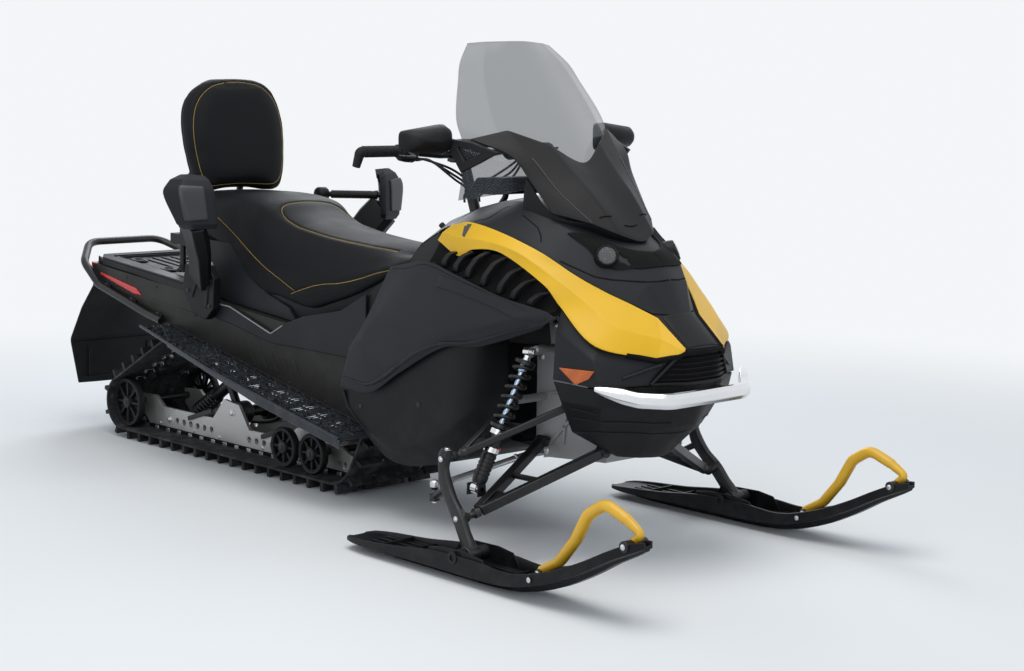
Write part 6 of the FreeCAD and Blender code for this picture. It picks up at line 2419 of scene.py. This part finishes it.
@dataclass
class Steering(Assembly):
    """The bars with their grips, hooked ends, controls and cables, and the post."""

    hook: Point = (321, 388, 1068)
    corner: Point = (335, 384, 1112)
    inner: Point = (342, 240, 1112)
    middle: Point = (350, 90, 1098)
    home: Body = Body.BARS

    def build(self) -> None:
        """Make every piece."""
        self.keep("steering_post", "black_enamel", 1)
        bar = Pot()
        bar.tube(rounded(both_sides([self.hook, self.corner, self.inner, self.middle]), 0.03, 6), 11, 18)
        self.cast(bar, "bar_tube", "black_enamel", ["handlebar"], sharp=60)
        self._clamp()
        for side in Side:
            self._grip(side)
            self._controls(side)
            self._cables(side)

    def _clamp(self) -> None:
        """Make the riser block, its caps and bolts, and the padded cover."""
        pot, bolts = Pot(), Pot()
        for y in (-28, 28):
            pot.beam(mm((352, y, 1076)), mm((352, y, 1122)), 30, 52, AHEAD, 0.86)
            for x in (334, 370):
                bolts.bolt(mm((x, y, 1122)), UP, 5, 5)
        pot.beam(mm((352, -45, 1082)), mm((352, 45, 1082)), 26, 16, UP)
        self.cast(pot, "riser_block", "black_enamel", edge=4, rounds=3)
        self.cast(bolts, "riser_bolts", "zinc_bolt")
        pad = Pot()
        line = spline(both_sides([(346, 122, 1126), (350, 70, 1128), (352, 24, 1132)]), 6)
        count = len(line) - 1
        pad.tube(line, [12 + 12 * math.sin(math.pi * k / count) ** 0.5 if 0 < k < count else 8
            for k in range(count + 1)], 16, flat=0.55)
        self.cast(pad, "bar_pad", "soft_rubber", sharp=60)

    def _grip(self, side: Side) -> None:
        """Turn one ribbed grip and its heated hook.

        Args:
            side: which one.
        """
        out, into = mm((336, 378, 1112), side), mm((342, 250, 1112), side)
        way = (out - into).normalized()
        length = (out - into).length * 1000
        profile = [(-4, 13), (-3, 20), (2, 20), (4, 17)] + ribbed(8, 8.6, 13, 17.2, 16, (4.4, 5.4, 7.6))
        profile += [(length - 4, 17.4), (length, 16), (length + 2, 11)]
        grip, hook = Pot(), Pot()
        grip.lathe(into, way, profile, 26)
        self.cast(grip, "grip_" + side.word, "soft_rubber", sharp=60)
        path = rounded(mms([(337, 366, 1112), self.corner, self.hook], side), 0.026, 8)
        hook.tube(path, [15.5] * (len(path) - 2) + [15, 12], 18)
        self.cast(hook, "grip_hook_" + side.word, "soft_rubber", sharp=60)

    def _controls(self, side: Side) -> None:
        """Make the control housing and its lever.

        Args:
            side: which one.
        """
        a, b = mm((342, 246, 1110), side), mm((348, 184, 1101), side)
        way = (b - a).normalized()
        pot, keys, lever = Pot(), Pot(), Pot()
        pot.lathe(a, way, [(0, 15), (2, 22), (8, 26), (30, 27.5), (52, 26), (60, 21), (63, 15)], 28)
        up = Vector((-0.75, 0, 0.65)).normalized()
        pot.beam(a.lerp(b, 0.2) + up * 0.012, a.lerp(b, 0.9) + up * 0.012, 34, 30, up)
        self.cast(pot, "control_housing_" + side.word, "black_plastic", edge=2, sharp=40)
        for k in range(3):
            spot = a.lerp(b, 0.3 + 0.22 * k) + up * 0.0265
            keys.beam(spot, spot + up * 0.004, 9, 14, Vector((0, 1, 0)))
        self.cast(keys, "control_keys_" + side.word, "soft_rubber", edge=1.2)
        ahead = Vector((0.045, 0, 0.004)) if side is Side.LEFT else Vector((0.03, 0, -0.014))
        reach = 0.128 if side is Side.LEFT else 0.06
        root = a.lerp(b, 0.35) + Vector((0.024, 0, 0))
        tip = root + ahead * 0.75 + Vector((-0.002, side.value * reach, 0.004))
        path = spline([root, root + ahead * 0.7, root.lerp(tip, 0.55) + ahead * 0.42, tip], 7)
        lever.tube(path, [7, 7, 7.5, 8, 8, 8, 8, 7.6, 7.4, 7.2, 7, 6.8, 6.6, 6.4, 6.2, 6.2, 6.2, 6.2, 6.4,
            6.6, 7, 7.6], 12, flat=0.55)
        self.cast(lever, "lever_" + side.word, "black_enamel", sharp=60)

    def _cables(self, side: Side) -> None:
        """Lead the control cables round to the post.

        Args:
            side: which one.
        """
        pot = Pot()
        for k, spread in enumerate((0, 16, 30)):
            route = [(352, 196 - spread * 0.3, 1092 - 4 * k), (402 + spread * 0.5, 186, 1086),
                (430 + spread * 0.6, 120, 1062 - spread), (424 + spread * 0.3, 56, 1030 - spread),
                (396, 22 + 5 * k, 1004 - spread), (396, 18 + 6 * k, 985 - spread)]
            pot.tube(spline(mms(route, side), 8), 3.6, 8)
        self.cast(pot, "control_cables_" + side.word, "soft_rubber", sharp=60)


# ------------ front suspension


@dataclass
class FrontSuspension(Assembly):
    """The wishbones, shocks, spindles and tie rods of both sides, and the frame they hang on."""

    upper_joint: Point = (870, 480, 303)
    lower_joint: Point = (939, 496, 146)
    shock_low: Point = (882, 407, 206)
    shock_high: Point = (945, 272, 582)
    rod_end: Point = (811, 498, 212)
    bolt_at: Point = (1010, 538.5, 66)
    leg: Sequence[tuple[Point, float, float]] = (
        ((872, 506, 326), 15, 14), ((864, 507, 306), 20, 16), ((862, 509, 272), 18, 13),
        ((874, 512, 232), 22, 15), ((905, 517, 190), 21, 14), ((944, 524, 152), 23, 15),
        ((976, 531, 110), 22, 15), ((1000, 536, 82), 23, 17), ((1010, 538.5, 66), 22, 18))

    def build(self) -> None:
        """Make every piece."""
        self.keep("front_frame", "cast_alloy", 3)
        self.keep("steering_link", "satin_alloy", 0.8)
        self._frame_detail()
        for side in Side:
            self._wishbones(side)
            self._shock(side)
            self._spindle(side)
            self._rod_ends(side)

    def _frame_detail(self) -> None:
        """Rib and bolt the cast frame."""
        ribs, bolts = Pot(), Pot()
        for side in Side:
            out = side.out
            for a, b in (((850, 280), (1040, 460)), ((1060, 300), (880, 560)), ((860, 440), (1030, 470)),
                    ((920, 300), (960, 640))):
                ribs.beam(mm((a[0], 110, a[1]), side), mm((b[0], 110, b[1]), side), 9, 8, out)
            for x, z in ((850, 270), (1078, 296), (1030, 450), (1020, 600), (880, 640), (826, 540),
                    (826, 300)):
                bolts.bolt(mm((x, 109, z), side), out, 8, 6)
            for at in ((948, 250, 584), (1060, 218, 440), (835, 218, 426)):
                bolts.bolt(mm(at, side), out, 9, 7)
            plate = Pot()
            plate.slab(mms([(1010, 116, 636), (1060, 150, 470), (1086, 150, 330), (1030, 150, 330),
                (985, 130, 470), (968, 116, 636)], side), out * 0.006)
            self.cast(plate, "front_gusset_" + side.word, "cast_alloy", edge=2)
        self.cast(ribs, "frame_ribs", "cast_alloy", edge=2)
        self.cast(bolts, "frame_bolts", "zinc_bolt")

    def _wishbones(self, side: Side) -> None:
        """Weld the upper and lower arms of one side.

        Args:
            side: which one.
        """
        word = side.word
        for name, joint, shift, inner, wide, tall in (
                ("lower_arm_", self.lower_joint, (6, -26, 8), ((1096, 128, 306), (848, 122, 300)), 25, 27),
                ("upper_arm_", self.upper_joint, (8, -22, 6), ((1060, 232, 438), (835, 232, 424)), 17, 19)):
            knot = mm(Vector(joint) + Vector(shift), side)
            ends = mms(inner, side)
            pot, steel = Pot(), Pot()
            for end in ends:
                pot.beam(end, knot.lerp(end, 0.05), wide, tall, UP)
                steel.revolve(end - AHEAD * 0.016, AHEAD, [(0, 7), (0, wide * 0.62), (32, wide * 0.62),
                    (32, 7)], 24)
                steel.bolt(end + AHEAD * 0.016, AHEAD, 7, 6)
                steel.bolt(end - AHEAD * 0.016, -AHEAD, 7, 6)
            gusset = [knot.lerp(ends[i], share) for i, share in ((0, 0.06), (0, 0.3), (1, 0.3), (1, 0.06))]
            pot.rings([[p + UP * d for p in gusset] for d in (-0.0035, 0.0035)])
            cross = 0.52 if wide > 20 else 0.6
            pot.beam(knot.lerp(ends[0], cross), knot.lerp(ends[1], cross), wide * 0.55, tall * 0.55, UP)
            self.cast(pot, name + "frame_" + word, "black_enamel", [name + word], edge=3, rounds=3)
            target = mm(joint, side)
            way = (target - knot).normalized()
            reach = (target - knot).length * 1000
            steel.lathe(knot - way * 0.018, way, [(0, 8), (2, 14), (18, 15), (22, 12), (26, 9),
                (reach + 18, 8.5)], 22)
            self.cast(steel, name + "joints_" + word, "forged_steel")
        low = mm(self.shock_low, side)
        eye = Pot()
        for step in (-1, 1):
            at = low + Vector((step * 0.02, 0, 0))
            outline = (-0.016, -0.02), (0.016, -0.02), (0.014, 0.014), (-0.014, 0.014)
            eye.slab([at + Vector((0, y, z)) for y, z in outline], AHEAD * (step * 0.004))
        self.cast(eye, "shock_bracket_" + word, "black_enamel", edge=1.2)

    def _shock(self, side: Side) -> None:
        """Build one coil-over shock.

        Args:
            side: which one.
        """
        word = side.word
        low, high = mm(self.shock_low, side), mm(self.shock_high, side)
        way = (high - low).normalized()
        length = (high - low).length * 1000
        body, shaft, spring, chrome, red = Pot(), Pot(), Pot(), Pot(), Pot()
        body.lathe(low, way, [(12, 12), (16, 19), (28, 21.5)] + ribbed(32, 12, 6, 21.5, 19.6,
            (7.5, 8.5, 11)) + [(106, 21.5), (108, 16), (190, 15), (192, 10)], 28)
        for at in (0.455, 0.92):
            body.lathe(low, way, [(length * at - 6, 20), (length * at - 4, 30), (length * at + 5, 30),
                (length * at + 8, 22)], 32)
        shaft.lathe(low, way, [(186, 7.5), (length - 30, 7.5)], 20)
        shaft.lathe(low, way, [(length - 60, 10), (length - 56, 12), (length - 34, 12), (length - 30, 9)],
            20)
        spring.coil(low + way * (length * 0.475 / 1000), low + way * (length * 0.905 / 1000), 25, 5.6, 6)
        for end, sign in ((low, 1), (high, -1)):
            chrome.revolve(end - Vector((0.011, 0, 0)), AHEAD, [(0, 7.5), (0, 15), (22, 15), (22, 7.5)], 28)
            chrome.lathe(end, way * sign, [(10, 10), (20, 10), (26, 13), (30, 13)], 20)
            chrome.lathe(end - Vector((0.018, 0, 0)), AHEAD, [(0, 7), (36, 7)], 18)
            chrome.bolt(end + Vector((0.018, 0, 0)), AHEAD, 7, 6)
        for at in (106, 158):
            chrome.lathe(low, way, [(at, 17), (at + 2, 22.6), (at + 16, 22.6), (at + 18, 17)], 28)
        side_way = way.cross(AHEAD).normalized()
        for at in (120, 178):
            spot = low + way * (at / 1000)
            red.lathe(spot, Vector((0.75, 0, 0)) + side_way, [(17, 6), (23, 6), (24.5, 4)], 16)
        self.cast(body, "shock_body_" + word, "black_enamel", ["shock_" + word], sharp=45)
        self.cast(shaft, "shock_shaft_" + word, "shaft_chrome", sharp=45)
        self.cast(spring, "shock_spring_" + word, "black_enamel", sharp=60)
        self.cast(chrome, "shock_ends_" + word, "bright_alloy", sharp=45)
        self.cast(red, "shock_adjusters_" + word, "adjuster_red")

    def _spindle(self, side: Side) -> None:
        """Forge one spindle with its bosses, bolts and clamp.

        Args:
            side: which one.
        """
        word = side.word
        body = Body.spindle(side)
        points = spline([mm(p, side) for p, _, _ in self.leg], 5)
        sizes = spline([Vector((a, b, 0)) for _, a, b in self.leg], 5)
        rings = []
        for point, size, (across, over) in zip(points, sizes, frames_along(points)):
            y = Vector((0, 1, 0))
            along = across.cross(over)
            fore = y.cross(along).normalized()
            y = along.cross(fore).normalized()
            turns = [(math.cos(math.pi * k / 9), math.sin(math.pi * k / 9)) for k in range(18)]
            rings.append([point + (fore * c * size.x + y * s * size.y)
                * (max(abs(c), abs(s)) ** -0.45 * 0.92 / 1000) for c, s in turns])
        pot, bolts, boots = Pot(), Pot(), Pot()
        pot.rings(rings)
        out = side.out
        for joint, end, radius in ((self.upper_joint, (866, 511, 306), 13), (self.lower_joint,
                (950, 524, 160), 13)):
            start = mm(joint, side) + out * 0.009
            stop = mm(end, side)
            boots.ball(mm(joint, side), radius + 1.5)
            reach = (stop - start).length * 1000 + 8
            pot.lathe(start, stop - start, [(0, radius - 1.5), (1.5, radius), (reach, radius + 2)], 24)
        elbow, tip = mm((884, 514, 222), side), mm(self.rod_end, side) - Vector((0, 0, 0.031))
        pot.tube([elbow, elbow.lerp(tip, 0.5), tip], [15, 12, 11.5], 18, flat=0.8)
        pot.lathe(tip - Vector((0, 0, 0.01)), UP, [(0, 13), (1.5, 14.5), (17, 14.5), (19, 13)], 24)
        bolt = mm(self.bolt_at, side)
        pot.revolve(bolt - out * 0.024, out, [(0, 8.5), (0, 20), (2, 22), (46, 22), (48, 20), (48, 8.5)],
            32)
        self.cast(pot, "spindle_forging_" + word, "forged_steel", ["spindle_" + word], body=body, edge=1.5,
            angle=40, sharp=45)
        self.cast(boots, "ball_joints_" + word, "soft_rubber", body=body, sharp=60)
        bolts.lathe(bolt - out * 0.062, out, [(0, 7), (1, 8), (123, 8), (124, 7)], 20)
        for at, reach in (((866, 508, 300), 16), ((948, 524, 150), 16)):
            bolts.bolt(mm(at, side) + out * (reach / 1000), out, 6, 4)
        bolts.bolt(mm((872, 506, 326), side), Vector((0.1, 0, 1)), 8, 5)
        bolts.bolt(tip - Vector((0, 0, 0.01)), Vector((0, 0, -1)), 7, 6)
        self.cast(bolts, "spindle_bolts_" + word, "zinc_bolt", body=body)

    def _rod_ends(self, side: Side) -> None:
        """Fit the tie rod's boots and jam nuts.

        Args:
            side: which one.
        """
        inner, outer = mm((815, 130, 262), side), mm(self.rod_end, side)
        way = (outer - inner).normalized()
        length = (outer - inner).length * 1000
        nuts, boots = Pot(), Pot()
        for at in (60, length - 62):
            nuts.lathe(inner, way, [(at, 10.5), (at + 1.5, 12), (at + 10, 12), (at + 11.5, 10.5)], 6)
        nuts.lathe(outer + Vector((0, 0, 0.013)), UP, [(0, 12), (2, 11), (5, 6)], 20)
        nuts.lathe(inner, way, [(length - 44, 9.2), (length - 38, 12), (length - 20, 14),
            (length - 6, 13.8), (length, 10)], 22)
        boots.lathe(outer - Vector((0, 0, 0.0016)), Vector((0, 0, -1)), [(0, 10.5), (2.5, 11), (5, 9),
            (8, 8)], 20)
        self.cast(nuts, "tie_rod_ends_" + side.word, "zinc_bolt", body=Body.TIE_RODS)
        self.cast(boots, "tie_rod_boots_" + side.word, "soft_rubber", body=Body.TIE_RODS, sharp=60)


# ------------ skis


@dataclass
class Skis(Assembly):
    """The two skis with their loops, saddles and runners."""

    offset: float = 538.5
    # x, half width, keel, edge, channel floor and rim heights
    stations: Sequence[tuple[float, ...]] = (
        (523, 34, 24, 27, 31, 33), (545, 56, 18, 25, 32, 36), (620, 66, 5, 22, 34, 42),
        (760, 66, 0, 24, 36, 52), (920, 66, 0, 25, 36, 70), (1100, 66, 0, 25, 36, 73),
        (1230, 66, 10, 32, 44, 67), (1350, 62, 42, 62, 72, 94), (1460, 54, 92, 108, 116, 137),
        (1560, 44, 148, 160, 168, 187), (1620, 32, 178, 188, 197, 214), (1655, 16, 197, 204, 212, 221))
    loop: Sequence[Pair] = ((1285, 76), (1350, 112), (1408, 180), (1450, 252), (1510, 290),
        (1585, 262), (1634, 234), (1606, 212))

    def build(self) -> None:
        """Make both."""
        for side in Side:
            self._ski(side)
            self._loop(side)

    def _fine(self) -> list[tuple[float, ...]]:
        """The stations with smooth ones between them."""
        tracks = [spline([Vector((row[0], row[k], 0)) for row in self.stations], 5) for k in range(1, 6)]
        return [(track[0].x, *[t.y for t in track]) for track in zip(*tracks)]

    def _ski(self, side: Side) -> None:
        """Mould one ski, its saddle and its runner.

        Args:
            side: which one.
        """
        word = side.word
        body = Body.ski(side)
        centre = side.value * self.offset
        pot = Pot()
        rings = []
        for x, half, keel, edge, floor, top in self._fine():
            wall, foot = min(9, half * 0.4), min(26, half * 0.5)
            outline = [(half - 1.5, top), (half, top - 2), (half, edge), (foot, edge - 3),
                (foot * 0.6, keel)]
            inner = [(half - wall + 1.5, top), (half - wall, top - 2), (half - wall - 2, floor),
                (half * 0.3, floor - 1)]
            right = [mm((x, centre - y, z)) for y, z in outline]
            left = [mm((x, centre + y, z)) for y, z in outline[::-1]]
            rings.append(right + left + [mm((x, centre + y, z)) for y, z in inner]
                + [mm((x, centre - y, z)) for y, z in inner[::-1]])
        pot.rings(rings)
        self.cast(pot, "ski_shell_" + word, "ski_black", ["ski_" + word], body=body, edge=1.6, angle=40,
            sharp=34)
        saddle, steel, rubber = Pot(), Pot(), Pot()
        for y in (-58.5, 58.5):
            at = centre + y
            step = -3.5 if y > 0 else 3.5
            outline = [(880, 40), (906, 78), (960, 86), (1058, 88), (1116, 80), (1146, 42)]
            saddle.slab([mm((x, at, z)) for x, z in outline], mm((0, step, 0)))
        for x in (700, 800, 1180, 1260):
            saddle.beam(mm((x, centre - 60, 40)), mm((x, centre + 60, 40)), 7, 12, UP)
        for y in (-28, 0, 28):
            saddle.beam(mm((620, centre + y, 37)), mm((1255, centre + y, 38)), 5, 5, UP)
        self.cast(saddle, "ski_saddle_" + word, "ski_black", body=body, edge=1.5)
        for y in (-1, 1):
            out = Vector((0, y, 0))
            wall = mm((1010, centre + y * 67, 66))
            rubber.revolve(wall, out, [(-1, 8.6), (-1, 17), (1.4, 17), (2, 15.5), (2, 8.6)], 28)
            steel.bolt(mm((1306, centre + y * 67, 66)), out, 5.4, 3.5)
            rubber.revolve(mm((1010, centre + y * 40, 66)), out, [(-15, 9), (-15, 17), (-10, 19), (12, 19),
                (12, 9)], 28)
        rod_line = spline([mm((x, centre, z)) for x, z in ((640, 6.5), (760, 4.6), (920, 4.6), (1100, 4.6),
            (1230, 13), (1285, 24))], 6)
        steel.tube(rod_line, 4.5, 12)
        self.cast(steel, "ski_steel_" + word, "zinc_bolt", body=body)
        self.cast(rubber, "ski_damper_" + word, "soft_rubber", body=body, sharp=45)

    def _loop(self, side: Side) -> None:
        """Bend one hand loop and pin its ends.

        Args:
            side: which one.
        """
        word = side.word
        body = Body.ski(side)
        centre = side.value * self.offset
        route = [mm((x, centre, z)) for x, z in self.loop]
        path = spline(rounded(route, 0.05, 3), 2)
        radii = []
        for k in range(len(path)):
            share = k / (len(path) - 1)
            radii.append(12.5 + 5 * math.sin(math.pi * min(1, share * 1.15 + 0.04)) ** 0.5 if share < 0.83
                else 12)
        pot, pins, heads = Pot(), Pot(), Pot()
        pot.tube(path, radii, 20, flat=0.92)
        self.cast(pot, "hand_loop_" + word, "golden_loop", ["ski_loop_" + word], body=body, sharp=60)
        y = Vector((0, 1, 0))
        for x, z, half, radius in ((1608, 205, 40, 14.5), (1290, 72, 22, 11)):
            pins.lathe(mm((x, centre - half, z)), y, [(0, radius - 1.5), (1.5, radius), (half * 2 - 1.5,
                radius), (half * 2, radius - 1.5)], 28)
            for way in (-1, 1):
                heads.bolt(mm((x, centre + way * half, z)), y * way, 5.6, 4.5)
        self.cast(heads, "loop_bolts_" + word, "zinc_bolt", body=body)
        self.cast(pins, "loop_pins_" + word, "black_enamel", body=body, edge=1)


# ------------ the whole machine


def main() -> None:
    """Build the studio and every sub-assembly in order."""
    logging.basicConfig(level=logging.INFO, format="%(name)s: %(message)s")
    Studio().build()
    looks = Finishes()
    for kind in (TrackAndSkid, TunnelAndBoards, RearEnd, Seating, Handholds, BodyWork, Screen, Steering,
            FrontSuspension, Skis):
        before = set(bpy.data.objects)
        kind(looks).build()
        for piece in sorted(set(bpy.data.objects) - before, key=lambda item: item.name):
            LOG.info("%s: %s, %d faces", kind.__name__, piece.name, len(piece.data.polygons))


if __name__ == "__main__":
    main()
